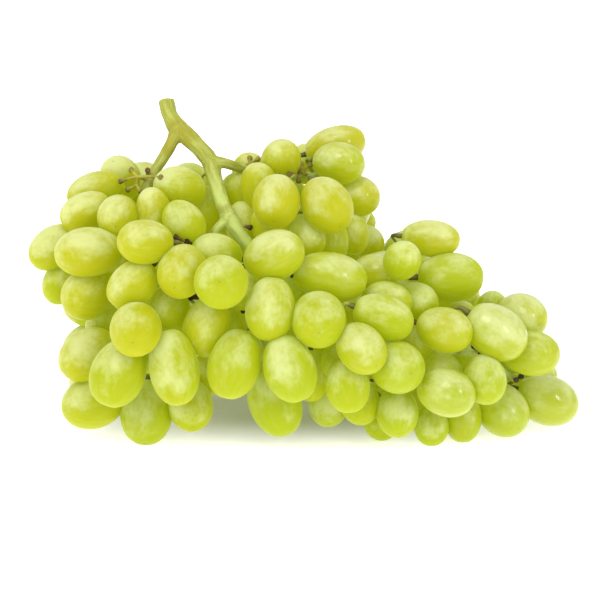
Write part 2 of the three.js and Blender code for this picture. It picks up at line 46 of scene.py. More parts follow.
SPRAYS = ("left_wing", "right_wing", "tail")

# ---- driving dimensions, in millimetres as in the solids ----------------------------------------
EYE_DISTANCE = 600        # from the eye to the middle of the bunch
EYE_ANGLE = 12            # degrees that the line of sight looks down
SIGHT_HEIGHT = 44         # where the line of sight meets the middle plane, above the surface
MIDDLE = (1.5, -18.84)    # middle of the bunch's box from the line of sight, x and y
BERRY_SHAPE = 1.28        # least length over width of a berry
BACK_HALF_LENGTH = 12.2   # of a hidden berry
BACK_HALF_WIDTH = 9.8
BACK_SIZES = (0.92, 1.06)  # smallest and largest, as a share of that
BACK_STEP = 25            # between the berries of a hidden row
INNER_STEP = 30           # and of an inner one
BACK_SPREAD = 2.5         # of a berry's place in its row
SINGLE_SPREAD = 1         # and of a single berry's
ON_SURFACE = 12           # berries lower than this stand on the surface
CORE = (-10, -16, 48)     # berries on the hidden side point away from here
CORE_REACH = (160, 30, 45)  # over which they turn away from it
AXIS_DRAWS = ((-0.6, 0.6), (-0.4, 0.4), (-0.5, 0.2))  # and how unevenly
LEFT_WING_END = -24       # a hidden berry left of this belongs to the left wing
TAIL_START = 52           # and right of this to the tail
SEED = 5

PRESS = 0.8               # most that two berries of a spray are pressed into each other
TOUCH = 1.2               # how far the berries that hold a spray together are pressed
APART = 0.8               # between berries of different sprays
STEM_CLEAR = 0.6          # between a berry and a stem
SINK = 0.5                # how far the lowest berries flatten on the surface
ROUNDS = 300              # of settling
LOOK_ROUND = 20           # rounds until the neighbours are looked up again
NEAR = 8                  # gap within which things are neighbours
PULL = 0.8                # share of a gap closed, and of a stem's push, each round
SIDEWAYS = (0.25, 0.6, 0.3)  # share across a shown berry's line of sight of pushes, pulls and stems' pushes
HOMING = 0.05             # share of the way home, each round
SLACK = 0.01              # the same along the line of sight, and for a hidden berry
DAMPING = 0.7             # share of a round's moves that is made

PEDICEL_RADIUS = 0.7
NECK_GAP = 1.5            # between the end of a pedicel's way and its berry
WAY_CLEAR = 0.6           # between a pedicel's bend and the berries, where there is room
BEND_DEPTHS = (2.5, 5, 8)  # of that bend behind the pedicel's end
BEND_PUSHES = 3           # rounds of pushing it clear
ROOTS_TRIED = 8           # for each bend
WAY_STATIONS = (0.15, 0.3, 0.45, 0.6, 0.75, 0.9)
CROSSING_MARGIN = 0.4     # around a pedicel, counted as crossing
CROSSING_COST = 4         # millimetres of way that a millimetre inside a berry is worth
BEND_COST = 5             # and that a bend is worth
SHOWING_COST = 1          # and that a millimetre in open view is worth
MOST_CROSSED = 0.3        # a berry whose pedicel would cross more than this gets none
MOST_SHOWING = 7          # nor does one whose pedicel would show along more than this
LONGEST_HIDDEN = 12       # nor does a hidden berry farther than this from a stem
NEIGHBOURHOOD = 40        # around a pedicel's end, where berries can be in its way

# ---- the berries that show, spray by spray ------------------------------------------------------
# across, up, half length, half width and lean (degrees of the free end, 0 right, 90 up) in the sheet
# square to the line of sight through the middle of the bunch; then depth, negative towards the eye.
SHOWN = {
    "left_wing": [
        (-71, 49, 9, 8, 110, 5), (-82, 43.5, 12, 8, 200, -12), (-86.5, 35, 11, 8, 205, -30),
        (-73, 34, 9, 8.5, -90, -38), (-62.5, 24, 11, 9, 180, -60), (-58, 35, 10, 7, 100, -36),
        (-85, 18.5, 14, 10, 185, -46), (-99, 21, 11, 8, 220, -25), (-96, 6.5, 8.5, 7, -100, -25),
        (-85.5, 1, 11, 10, 225, -40), (-67, 6, 11.5, 9, 225, -58), (-47, 11, 11, 10, -110, -62),
        (-32, 17.5, 10.5, 8.5, 170, -50), (-31, 7, 11, 11, -90, -76), (-47, 45.5, 10.5, 8.5, 170, -20),
        (-48, 33, 10, 8, -50, -42), (-37, 36, 10, 7, -80, -18), (-66, -11, 11, 10.5, -90, -74),
        (-52, -3, 10, 9, -90, -46), (-37, -10.5, 12.5, 9.5, -105, -60), (-50, -27.5, 15.5, 10, -80, -68),
        (-73, -29.5, 14, 11, -110, -66), (-85, -19.5, 12, 10, 220, -45), (-82, -43, 12.5, 10.5, 195, -46),
        (-62, -45, 13, 10.5, -90, -46), (-43, -41.5, 10.5, 9, -80, -46), (-36, -29, 9, 8, -90, -40),
        (-25.5, -25, 14.5, 10.5, -105, -72),
        # in the gaps between those
        (-56, 21.5, 9, 7.5, -90, -32), (-73, 19, 9, 7.5, -90, -26), (-21.5, 4, 9.5, 7.5, -90, -48),
        (-78, -9, 9, 7.5, -120, -40), (-83.5, -32, 9, 8, -130, -30), (-60.5, -21, 9.5, 7.5, -90, -52),
        (-26, -10, 9, 7.5, -90, -38), (-44, -11, 8.5, 7, -90, -40),
        (-21.5, -21, 8, 7, -90, -46),
    ],
    "right_wing": [
        (-7.5, 56, 8.5, 8, 60, -12), (-9.5, 39.5, 11, 9.5, -95, -38), (10.5, 38, 12, 10, -60, -38),
        (15, 55, 10.5, 8.5, -10, -14), (14, 61.5, 12.5, 8, 15, 0), (23.5, 42.5, 9, 8, -30, -8),
        (2, 25, 9, 7.5, -60, -34), (13, 24, 9, 7, -80, -24), (21, 25.5, 8.5, 7, -85, -16),
        (27, 23.5, 7, 6.5, -60, 4), (23, 30, 7, 6, 20, 16), (-20.5, 51.5, 7.5, 7, 90, 6),
        (-24, 43, 9, 7, 110, -12), (-17.5, 43, 10, 7.5, 95, -20), (-23, 33, 9, 7, -90, -28),
        (-10.5, 18.5, 12.5, 10, 20, -60), (-13, -4.5, 13, 10, -95, -68), (-4.5, -27.5, 14, 10.5, -70, -72),
        (-12.5, -41, 15, 10.5, -70, -56), (8, -8, 11.5, 11, -90, -70), (12.5, 9.5, 15, 10, -10, -55),
        (25, -18, 11, 9.5, -50, -72), (19, -35, 11.5, 9, -85, -68), (39, -27, 11, 10.5, -20, -66),
        (40, -45, 10, 8.5, -90, -58), (11, -41, 9.5, 8, -90, -44), (23, -40, 9.5, 8, -80, -52),
        (32.5, -47.5, 8.5, 7.5, -90, -44), (6, -29, 10.5, 7.5, -90, -46), (15.5, -24, 8, 7, -90, -50),
        (33, -7, 12.5, 9, -20, -58), (37, -1, 10, 8, -15, -48), (45, -1, 9, 8, -20, -42),
        (30, 11, 9.5, 8, -10, -40), (40.5, 15.5, 8, 7.5, 60, -44), (52, 25, 12, 7.5, -5, -30),
        (60, 8.5, 13.5, 10, 0, -38), (46, -15, 9, 7.5, -60, -46),
        # in the gaps between those
        (-27, 31, 9.5, 8, -70, -12), (-12, 29.5, 9, 7.5, -60, -36), (3, 15, 9, 7.5, -60, -34),
        (-3, 7, 9.5, 8, -80, -46), (18.5, -2.5, 9, 7.5, -80, -44), (49.5, -21, 9, 7, -70, -34),
        (43, 6.5, 9, 7.5, -60, -20), (2, 54.5, 8, 7, 80, 12),
    ],
    "tail": [
        (56, -12, 11, 9, -15, -52), (56.5, -28.5, 8.5, 7.5, -60, -48), (57, -37, 11.5, 9.5, -15, -60),
        (65, -21, 9, 7.5, -60, -30), (79.5, -12, 13.5, 10.5, -35, -52), (75, -32, 10, 8.5, -85, -58),
        (88, -8, 10, 9.2, -30, -26), (77, -4, 7.5, 6.5, 90, -18), (92.5, -21, 11, 9, -5, -40),
        (99, -40, 13, 10, -20, -34), (95, -29.5, 7.5, 6.5, -20, -18), (82, -43.5, 11.5, 10, -50, -41),
        (65, -47.5, 10.5, 7.5, -90, -46), (51, -51, 8.5, 7, -90, -52), (73.5, -5.5, 7.5, 6.5, 60, -10),
        (64, -9, 8, 7, 80, -24),
        # in the gaps between those
        (69, -40, 9, 7.5, -80, -28), (79, -21, 9, 7.5, -60, -34),
    ],
}

# ---- the hidden side ----------------------------------------------------------------------------
# rows of height, left end, right end, depth at the left end, in the middle and at the right end
BACK_ROWS = [
    (9.5, -76, 80, 10, 22, -12), (26.5, -84, 82, 6, 32, -14), (44, -84, 66, 6, 36, -8),
    (61, -80, 46, 8, 34, 4), (77, -74, 20, 8, 28, 14),
]
# inside the heap, from a coarser row
INNER_ROWS = [(34, -64, 56, 0, 6, -10), (54, -64, 36, -2, 4, -4)]
# on top behind the stem, and on the surface under the heap
SINGLE_BERRIES = [
    (-64, 14, 83), (-46, 14, 84), (-4, 4, 88), (14, 20, 84), (-24, 22, 84), (-66, -12, 9.5),
    (20, -18, 9.5), (48, -18, 9.5),
]

# ---- the stem -----------------------------------------------------------------------------------
# across, up and depth as above, then the radius
STEM = {
    "axis": [
        (-53.6, 79.5, -6, 3.1), (-52.2, 74.5, -8, 3.1), (-48.5, 68.5, -10, 3.7), (-44.5, 65, -12, 3.6),
        (-40.5, 61, -14, 3.2), (-36, 55, -17, 3.2), (-34, 48, -22, 2.8), (-31.5, 40, -27, 2.7),
        (-28.5, 33, -31, 2.9), (-23.5, 26, -35, 2.4), (-14, 13, -34, 2.3), (-2, 2, -30, 2.2),
        (16, -8, -24, 2.2), (36, -15, -24, 2), (56, -20, -30, 1.8), (71, -21, -38, 1.6), (80, -27, -38, 1.3),
        (86, -32, -38, 1.2),
    ],
    "left_branch": [
        (-48.5, 68.5, -10, 3.2), (-51.3, 62.5, -12, 2.4), (-55, 56, -14, 2.1), (-59, 50, -17, 2.1),
        (-61.5, 44, -19, 2.2), (-64, 34, -18, 2), (-70, 22, -14, 1.8), (-80, 12, -14, 1.5),
    ],
    "right_branch": [
        (-36, 55, -17, 2.4), (-31, 55, -17, 2.2), (-27, 54, -15, 1.9), (-21, 52, -9, 1.7),
        (-12, 49.5, -1, 1.5), (-3, 49, 0, 1.4), (3, 50, -6, 1.3), (8, 50, -8, 1.1),
    ],
    "lower_left_front": [
        (-28.5, 33, -31, 1.8), (-34.5, 26, -34, 1.6), (-34, 8, -38, 1.5), (-43, -13, -36, 1.4),
        (-54, -32, -34, 1.2),
    ],
    "lower_left_back": [(-34, 8, -38, 1.5), (-42, 0, -14, 1.5), (-60, -14, -4, 1.4), (-76, -26, -2, 1.2)],
    "middle_down": [(-14, 13, -34, 1.7), (-14, -10, -42, 1.4), (-14, -28, -44, 1.2)],
    "right_down": [(16, -8, -24, 1.6), (20, -20, -38, 1.4), (24, -32, -38, 1.2)],
    "back_down": [(-2, 2, -30, 1.7), (2, -12, 4, 1.5), (-4, -28, 10, 1.2)],
    "upper_right": [(36, -15, -24, 1.6), (42, 2, -16, 1.4), (44, 17, -20, 1.2)],
    "tail_up": [(71, -21, -38, 1.3), (84, -16, -16, 1.2), (92, -26, -12, 1)],
    "tail_down": [(56, -20, -30, 1.5), (66, -34, -32, 1.2), (60, -44, -30, 1)],
}
# bare pedicels whose berries have dropped: across, up and depth of the root, a bend and the dried end
BARE_PEDICELS = [
    ((-61, 47.5, -19), (-64.8, 49.2, -20), (-72.2, 47.4, -18.5)),
    ((-64.8, 49.2, -20), (-66.2, 50.4, -19), (-67.6, 52.2, -17)),
    ((-64.8, 49.2, -20), (-60, 49.4, -23), (-55.6, 49.1, -32.5)),
    ((-64.8, 49.2, -20), (-65.6, 46, -20.5), (-69.2, 44, -19)),
    ((-65.6, 46.2, -20.5), (-64.6, 44.6, -21.5), (-63.6, 43.2, -22.5)),
    ((-61, 50, -17), (-61, 51, -19), (-60.9, 52, -21)), ((-23, 52.5, -11), (-20.5, 54, -8), (-20, 57, -5)),
    ((-23, 52.5, -11), (-19.5, 55, -7), (-16.5, 56.5, -5)),
    ((-21.5, 53.5, -9), (-18.5, 54.5, -8), (-16.5, 54, -8)),
    ((3, 50, -6), (-0.4, 51.2, -13), (-4.4, 50.4, -20.5)),
    ((-0.4, 51.2, -13), (2, 52.6, -15), (4.4, 54.2, -16)),
    ((-0.4, 51.2, -13), (0, 53, -14), (0.8, 54.8, -13)),
    ((-0.4, 51.2, -13), (-0.8, 49.2, -15), (-0.4, 47.2, -16)),
    ((-0.4, 51.2, -13), (0.6, 51.3, -15), (1.5, 51.2, -17)),
    ((-35, 25.5, -34), (-41, 22, -46), (-45.5, 23.4, -50.8)),
    ((-43, 22.8, -48), (-47, 23.9, -50.5), (-50.2, 25.4, -50)),
    ((71, -21, -38), (70, -19.5, -42), (69.5, -18.5, -46)),
    ((71, -21, -38), (73, -21, -42), (75, -22.5, -46)), ((86, -32, -38), (86, -32, -42), (86.5, -32, -47)),
    ((86, -32, -38), (88, -31, -42), (88.5, -30.5, -45)),
    ((-34, 8, -38), (-27, 0, -42), (-22.5, -4.5, -46)), ((-37, 0, -38), (-40, 0.5, -42), (-44, 1, -44)),
    ((-37, 0, -38), (-39.8, 1.4, -41), (-42.6, 2.2, -43)),
    ((20, 1, -44), (23, 2.5, -43.5), (25.8, 3.4, -43)),
    ((-25.5, 28.5, -33), (-22.5, 29.6, -33.5), (-19.6, 28.9, -34.5)),
    ((-3, 4, -44), (-3, 8, -49), (-3.2, 10.4, -51.8)),
]


# ---- vectors ------------------------------------------------------------------------------------
def add(a, b, k=1.0):
    return (a[0] + b[0] * k, a[1] + b[1] * k, a[2] + b[2] * k)


def sub(a, b):
    return (a[0] - b[0], a[1] - b[1], a[2] - b[2])


def mul(a, k):
    return (a[0] * k, a[1] * k, a[2] * k)


def dot(a, b):
    return a[0] * b[0] + a[1] * b[1] + a[2] * b[2]


def length(a):
    return math.sqrt(dot(a, a))


def unit(a):
    return mul(a, 1 / length(a))


# ---- the sheet square to the line of sight ------------------------------------------------------
TILT_DOWN = math.radians(EYE_ANGLE)
ACROSS = (1.0, 0.0, 0.0)
UP = (0.0, math.sin(TILT_DOWN), math.cos(TILT_DOWN))
TOWARDS = (0.0, -math.cos(TILT_DOWN), math.sin(TILT_DOWN))
MEETING = (0.0, 0.0, SIGHT_HEIGHT)
EYE = add(MEETING, TOWARDS, EYE_DISTANCE)


def sighted(across, up, depth):
    """The point at a depth on the line from the eye through a place in the sheet, and its scale."""
    line = sub(add(add(MEETING, ACROSS, across), UP, up), EYE)
    scale = (depth - EYE[1]) / line[1]
    return add(EYE, line, scale), scale


def placed(point):
    """A point of the layout in the row's frame, in metres."""
    return ((point[0] - MIDDLE[0]) * MM, (point[1] - MIDDLE[1]) * MM, point[2] * MM)


class Draw:
    """Seeded random numbers."""

    def __init__(self, seed):
        self.state = seed

    def __call__(self, low, high):
        self.state = (self.state * 1664525 + 1013904223) & 0xFFFFFFFF
        return low + (high - low) * self.state / 4294967296


# ---- where the berries lie ----------------------------------------------------------------------
def shown_berries():
    """Berries of the list: one shorter in the sheet than its real shape points towards the eye."""
    berries = []
    for spray, rows in SHOWN.items():
        for across, up, half_length, half_width, lean, depth in rows:
            point, scale = sighted(across, up, depth)
            b = half_width * scale
            a = half_length * scale
            tilt = 0.0
            if a < BERRY_SHAPE * b:
                whole = BERRY_SHAPE * b
                tilt = math.acos(math.sqrt(max(0, (a * a - b * b) / (whole * whole - b * b))))
                a = whole
            turn = math.radians(lean)
            flat = add(mul(ACROSS, math.cos(turn)), UP, math.sin(turn))
            axis = add(mul(flat, math.cos(tilt)), TOWARDS, math.sin(tilt))
            sight = unit(sub(point, EYE))
            berries.append(SimpleNamespace(
                spray=spray, centre=point, home=point, a=a, b=b, axis=axis, sight=sight
            ))
    return berries


def hidden_berries(draw):
    """Berries of the hidden rows, pointing away from the core."""
    berries = []

    def put(x, y, z, spread):
        size = draw(*BACK_SIZES)
        dx, dy, dz = (draw(-spread, spread) for _ in range(3))
        centre = (x + dx, y + dy, z + dz if z > ON_SURFACE else z)
        axis = [
            (at - core) / far + draw(*limits)
            for at, core, far, limits in zip((x, y, z), CORE, CORE_REACH, AXIS_DRAWS)
        ]
        spray = "left_wing" if x < LEFT_WING_END else "right_wing" if x < TAIL_START else "tail"
        berries.append(SimpleNamespace(
            spray=spray, centre=centre, home=centre, a=BACK_HALF_LENGTH * size,
            b=BACK_HALF_WIDTH * size, axis=unit(axis), sight=None
        ))

    def put_rows(rows, step):
        for z, left, right, left_depth, middle_depth, right_depth in rows:
            places = math.floor((right - left) / step + 0.5)
            for i in range(places + 1):
                t = i / places
                bow = 1 - (2 * t - 1) ** 2
                straight = left_depth + (right_depth - left_depth) * t
                y = straight + (middle_depth - (left_depth + right_depth) / 2) * bow
                put(left + (right - left) * t, y, z, BACK_SPREAD)

    put_rows(BACK_ROWS, BACK_STEP)
    put_rows(INNER_ROWS, INNER_STEP)
    for x, y, z in SINGLE_BERRIES:
        put(x, y, z, SINGLE_SPREAD)
    return berries


def reach(berry, n):
    """Distance from a berry's centre to its skin in a direction."""
    c = dot(berry.axis, n)
    return 1 / math.sqrt(c * c / (berry.a * berry.a) + (1 - c * c) / (berry.b * berry.b))


def gap_between(one, other):
    """The gap between two berries along the line through their centres, and its direction."""
    d = sub(other.centre, one.centre)
    distance = length(d)
    n = mul(d, 1 / distance)
    return distance - reach(one, n) - reach(other, n), n


def lowest(berry):
    down = berry.axis[2]
    return berry.centre[2] - math.sqrt((berry.a * down) ** 2 + berry.b ** 2 * (1 - down * down))


def nearest_on(p, start, end):
    """The point of a line that lies nearest, and its share of the line."""
    line = sub(end, start)
    k = min(1, max(0, dot(sub(p, start), line) / dot(line, line)))
    return add(start, line, k), k


def close_pairs(berries):
    pairs = []
    for j, other in enumerate(berries):
        for i in range(j):
            limit = berries[i].a + other.a + NEAR
            d = sub(other.centre, berries[i].centre)
            if dot(d, d) < limit * limit:
                pairs.append((i, j))
    return pairs


def holding_links(berries, pairs):
    """The shortest links that join every spray into one piece."""
    rows = sorted(
        (gap_between(berries[i], berries[j])[0], i, j)
        for i, j in pairs if berries[i].spray == berries[j].spray
    )
    lead = list(range(len(berries)))

    def head(i):
        while lead[i] != i:
            i = lead[i]
        return i

    links = []
    for _, i, j in rows:
        p = head(i)
        q = head(j)
        if p != q:
            lead[p] = q
            links.append((i, j))
    return links


def eased(berry, move, sideways):
    """A shown berry moves freely only along its line of sight."""
    if not berry.sight:
        return move
    return add(mul(move, sideways), berry.sight, dot(move, berry.sight) * (1 - sideways))


def settle(berries, stems):
    """Berries push each other apart, hold together within their spray and keep clear of the stems."""
    pushed, pulled, off_stem = SIDEWAYS
    for turn in range(ROUNDS):
        if turn % LOOK_ROUND == 0:
            pairs = close_pairs(berries)
            links = holding_links(berries, pairs)
            held = set(links)
            beside = [
                (i, stem) for i, berry in enumerate(berries) for stem in stems
                if length(sub(nearest_on(berry.centre, stem[0], stem[1])[0], berry.centre))
                < berry.a + stem[2] + NEAR
            ]
        moves = [(0.0, 0.0, 0.0)] * len(berries)
        for i, j in pairs:
            gap, n = gap_between(berries[i], berries[j])
            least = -PRESS if berries[i].spray == berries[j].spray else APART
            if (i, j) in held:
                least = -TOUCH
            if gap < least:
                half = (least - gap) * 0.5
                moves[i] = add(moves[i], eased(berries[i], mul(n, -half), pushed))
                moves[j] = add(moves[j], eased(berries[j], mul(n, half), pushed))
        for i, j in links:
            gap, n = gap_between(berries[i], berries[j])
            if gap > -TOUCH:
                pull = min(1, gap + TOUCH) * PULL
                moves[i] = add(moves[i], eased(berries[i], mul(n, pull), pulled))
                moves[j] = add(moves[j], eased(berries[j], mul(n, -pull), pulled))
        for i, (start, end, start_radius, end_radius) in beside:
            berry = berries[i]
            near, k = nearest_on(berry.centre, start, end)
            d = sub(berry.centre, near)
            distance = length(d)
            n = mul(d, 1 / distance)
            stem_radius = start_radius + (end_radius - start_radius) * k
            gap = distance - reach(berry, n) - stem_radius - STEM_CLEAR
            if gap < 0:
                moves[i] = add(moves[i], eased(berry, mul(n, -gap * PULL), off_stem))
        for i, berry in enumerate(berries):
            back = sub(berry.home, berry.centre)
            if berry.sight:
                homing = add(mul(back, HOMING), berry.sight, dot(back, berry.sight) * (SLACK - HOMING))
            else:
                homing = mul(back, SLACK)
            berry.centre = add(berry.centre, add(moves[i], homing), DAMPING)
            low = lowest(berry)
            if low < -SINK:
                berry.centre = add(berry.centre, (0, 0, -SINK - low))


# ---- where the pedicels grow --------------------------------------------------------------------
def buried(p, berries, margin):
    """How deep a point lies inside the berries grown by a margin."""
    depth = 0
    for berry in berries:
        d = sub(p, berry.centre)
        distance = length(d)
        if distance > berry.a + margin:
            continue
        depth += max(0, reach(berry, mul(d, 1 / distance)) + margin - distance)
    return depth


def pushed_clear(p, berries, margin):
    """A point moved until it lies outside the berries grown by a margin, where there is room."""
    for _ in range(BEND_PUSHES):
        for berry in berries:
            d = sub(p, berry.centre)
            distance = length(d)
            if distance > berry.a + margin:
                continue
            n = mul(d, 1 / distance)
            need = reach(berry, n) + margin
            if distance < need:
                p = add(berry.centre, n, need)
    return p


def stations(way):
    """Points along a way, each with the length of way that it stands for."""
    for start, end in zip(way, way[1:]):
        step = sub(end, start)
        share = length(step) / len(WAY_STATIONS)
        for t in WAY_STATIONS:
            yield add(start, step, t), share


def crossing(way, berries):
    """How much of a way lies inside the berries, summed over its stations."""
    return sum(buried(p, berries, PEDICEL_RADIUS + CROSSING_MARGIN) for p, _ in stations(way))


def covered(p, berries):
    """Whether a berry lies between a point and the eye."""
    sight = unit(sub(EYE, p))
    for berry in berries:
        d = sub(p, berry.centre)
        wide = 1 / (berry.b * berry.b)
        longer = 1 / (berry.a * berry.a) - wide
        d_axis = dot(d, berry.axis)
        s_axis = dot(sight, berry.axis)
        mixed = dot(d, sight) * wide + d_axis * s_axis * longer
        along = wide + s_axis * s_axis * longer
        if mixed < 0 and mixed * mixed > along * (dot(d, d) * wide + d_axis * d_axis * longer - 1):
            return True
    return False


def showing(way, berries):
    """How much of a way shows between the berries, in millimetres."""
    return sum(share for p, share in stations(way) if not covered(p, berries))


def grow_pedicels(berries, stems):
    """A pedicel runs from the stem or another pedicel, straight or round a bend, clear of the berries."""
    grown = [stem[:2] for stem in stems]

    def neck_of(berry):
        return add(berry.centre, berry.axis, -(berry.a + NECK_GAP))

    def roots_for(end):
        roots = [nearest_on(end, start, stop)[0] for start, stop in grown]
        return sorted(roots, key=lambda root: length(sub(root, end)))[:ROOTS_TRIED]

    def stem_distance(p):
        return min(length(sub(nearest_on(p, start, end)[0], p)) for start, end, _, _ in stems)

    order = sorted((stem_distance(neck_of(berry)), i) for i, berry in enumerate(berries))
    pedicels = []
    for _, i in order:
        berry = berries[i]
        neck = neck_of(berry)
        around = [other for other in berries if length(sub(other.centre, neck)) < NEIGHBOURHOOD]
        ways = [(root, neck) for root in roots_for(neck)]
        for depth in BEND_DEPTHS:
            bend = pushed_clear(add(neck, berry.axis, -depth), around, PEDICEL_RADIUS + WAY_CLEAR)
            ways += [(root, bend, neck) for root in roots_for(bend)]
        costs = []
        for way in ways:
            crossed = crossing(way, around)
            shown = showing(way, around)
            cost = length(sub(way[1], way[0])) + CROSSING_COST * crossed + BEND_COST * (len(way) - 2)
            costs.append((cost + SHOWING_COST * shown, crossed, shown, way))
        _, crossed, shown, way = min(costs, key=lambda row: row[0])
        far = not berry.sight and length(sub(way[0], neck)) > LONGEST_HIDDEN
        if crossed > MOST_CROSSED or shown > MOST_SHOWING or far:
            continue
        grown.append((way[0], way[1]))
        pedicels.append((i, way))
    return pedicels


# ---- node trees and plain meshes ----------------------------------------------------------------
def linear(code):
    """An sRGB hex colour as linear RGBA."""
    channels = [int(code[i:i + 2], 16) / 255 for i in (1, 3, 5)]
    return (*(c / 12.92 if c <= 0.04045 else ((c + 0.055) / 1.055) ** 2.4 for c in channels), 1.0)


def add_node(tree, kind, sockets=None, **settings):
    """Adds a node and returns its outputs; sockets maps input names or numbers to values or outputs."""
    node = tree.nodes.new(kind)
    for name, value in settings.items():
        setattr(node, name, value)
    for key, value in (sockets or {}).items():
        if isinstance(value, bpy.types.NodeSocket):
            tree.links.new(value, node.inputs[key])
        else:
            node.inputs[key].default_value = value
    return node.outputs


def new_group(name, inputs):
    """An empty geometry node tree with a geometry going in and out, and named inputs."""
    tree = bpy.data.node_groups.new(name, "GeometryNodeTree")
    tree.interface.new_socket("Geometry", in_out="INPUT", socket_type="NodeSocketGeometry")
    tree.interface.new_socket("Geometry", in_out="OUTPUT", socket_type="NodeSocketGeometry")
    for label, kind in inputs.items():
        tree.interface.new_socket(label, in_out="INPUT", socket_type="NodeSocket" + kind)
    return tree, add_node(tree, "NodeGroupInput")


def moved_out(tree, geometry, scale, detail, height):
    """Geometry with its points moved along their normals, by up to half a height, in and out."""
    where = add_node(tree, "GeometryNodeInputPosition")[0]
    normal = add_node(tree, "GeometryNodeInputNormal")[0]
    pattern = add_node(tree, "ShaderNodeTexNoise", {"Vector": where, "Scale": scale, "Detail": detail})
    wave = add_node(tree, "ShaderNodeMath", {0: pattern["Fac"], 1: 0.5}, operation="SUBTRACT")[0]
    share = add_node(tree, "ShaderNodeMath", {0: wave, 1: height}, operation="MULTIPLY")[0]
    offset = add_node(tree, "ShaderNodeVectorMath", {0: normal, "Scale": share}, operation="SCALE")[0]
    return add_node(tree, "GeometryNodeSetPosition", {"Geometry": geometry, "Offset": offset})[0]


def finished(tree, geometry, material):
    """Ends a geometry node tree with smooth faces of one material."""
    smooth = add_node(tree, "GeometryNodeSetShadeSmooth", {0: geometry})[0]
    done = add_node(tree, "GeometryNodeSetMaterial", {"Geometry": smooth, "Material": material})[0]
    add_node(tree, "NodeGroupOutput", {0: done})
    return tree


def linked(name, data):
    """A new object in the scene."""
    made = bpy.data.objects.new(name, data)
    bpy.context.collection.objects.link(made)
    return made


def applied(holder, name):
    """The mesh that an object's modifiers make of it; the object itself goes."""
    depsgraph = bpy.context.evaluated_depsgraph_get()
    made = bpy.data.meshes.new_from_object(holder.evaluated_get(depsgraph), depsgraph=depsgraph)
    bpy.data.objects.remove(holder)
    made.name = name
    return made


def piece_from(name, mesh, tree, values):
    """Runs a node tree over a mesh and keeps the outcome as a piece of plain mesh."""
    holder = linked(name + "_points", mesh)
    modifier = holder.modifiers.new("nodes", "NODES")
    modifier.node_group = tree
    for item in tree.interface.items_tree:
        if item.in_out == "INPUT" and item.name in values:
            modifier[item.identifier] = values[item.name]
    return linked(name, applied(holder, name))


def points_mesh(name, points, edges, attributes, faces=()):
    """A mesh with float and vector attributes on its points."""
    mesh = bpy.data.meshes.new(name)
    mesh.from_pydata(points, edges, faces)
    for label, values in attributes.items():
        vector = hasattr(values[0], "__len__")
        layer = mesh.attributes.new(label, "FLOAT_VECTOR" if vector else "FLOAT", "POINT")
        flat = np.array(values, dtype=np.float32).ravel()
        layer.data.foreach_set("vector" if vector else "value", flat)
    return mesh


def between(a, b, start, end, t):
    """The value at t of the straight line through a at the start and b at the end."""
    return a * (end - t) / (end - start) + b * (t - start) / (end - start)


def rounded(points, step):
    """Points on a smooth line (Catmull-Rom) through some points; further values come along."""
    rows = [np.array(p, dtype=float) for p in points]
    rows = [2 * rows[0] - rows[1]] + rows + [2 * rows[-1] - rows[-2]]
    made = []
    for p0, p1, p2, p3 in zip(rows, rows[1:], rows[2:], rows[3:]):
        knots = [0.0]
        for a, b in ((p0, p1), (p1, p2), (p2, p3)):
            knots.append(knots[-1] + math.sqrt(max(np.linalg.norm(b[:3] - a[:3]), 1e-6)))
        t0, t1, t2, t3 = knots
        pieces = max(1, round(np.linalg.norm(p2[:3] - p1[:3]) / step))
        for i in range(pieces):
            t = t1 + (t2 - t1) * i / pieces
            a1 = between(p0, p1, t0, t1, t)
            a2 = between(p1, p2, t1, t2, t)
            a3 = between(p2, p3, t2, t3, t)
            made.append(between(between(a1, a2, t0, t2, t), between(a2, a3, t1, t3, t), t1, t2, t))
    made.append(rows[-2])
    return made


def circle(sides):
    """Cosines and sines round a circle."""
    angles = [2 * math.pi * k / sides for k in range(sides)]
    return [(math.cos(angle), math.sin(angle)) for angle in angles]


def ring_faces(rings, sides, first):
    """Quads between rings of points that are numbered ring by ring from a first one."""
    return [
        (low + k, low + (k + 1) % sides, low + sides + (k + 1) % sides, low + sides + k)
        for low in range(first, first + (rings - 1) * sides, sides) for k in range(sides)
    ]


# ---- the materials ------------------------------------------------------------------------------
def new_material(name):
    """An empty material and its node tree."""
    material = bpy.data.materials.new(name)
    material.use_nodes = True
    material.node_tree.nodes.clear()
    return material, material.node_tree


def surface(tree, sockets):
    """Ends a material with its one shader."""
    shader = add_node(tree, "ShaderNodeBsdfPrincipled", sockets)[0]
    add_node(tree, "ShaderNodeOutputMaterial", {"Surface": shader})


def overlaid(tree, colour, other, value, low, high, most=1.0):
    """A colour with another laid over it, more and more as a value goes from low to high."""
    colour, other = (linear(c) if isinstance(c, str) else c for c in (colour, other))
    share = add_node(
        tree, "ShaderNodeMapRange", {0: value, 1: low, 2: high, 3: 0.0, 4: most},
        interpolation_type="SMOOTHSTEP",
    )[0]
    return add_node(tree, "ShaderNodeMix", {0: share, 6: colour, 7: other}, data_type="RGBA")[2]


# patterns on a berry, to its half length of some 12 mm
CLOUD_SCALE = 1.3         # golden places, 9 mm wide
VEIN_SCALE = 6.5          # veins 2 mm apart
DUST_SCALE = 1.2          # patches of bloom, 10 mm wide
MOTTLE_SCALE = 7.0        # and of their uneven edges, under 2 mm
LENTICEL_SCALE = 9.0      # dots over 1 mm apart
PORE_SCALE = 16.0         # uneven skin, under 1 mm

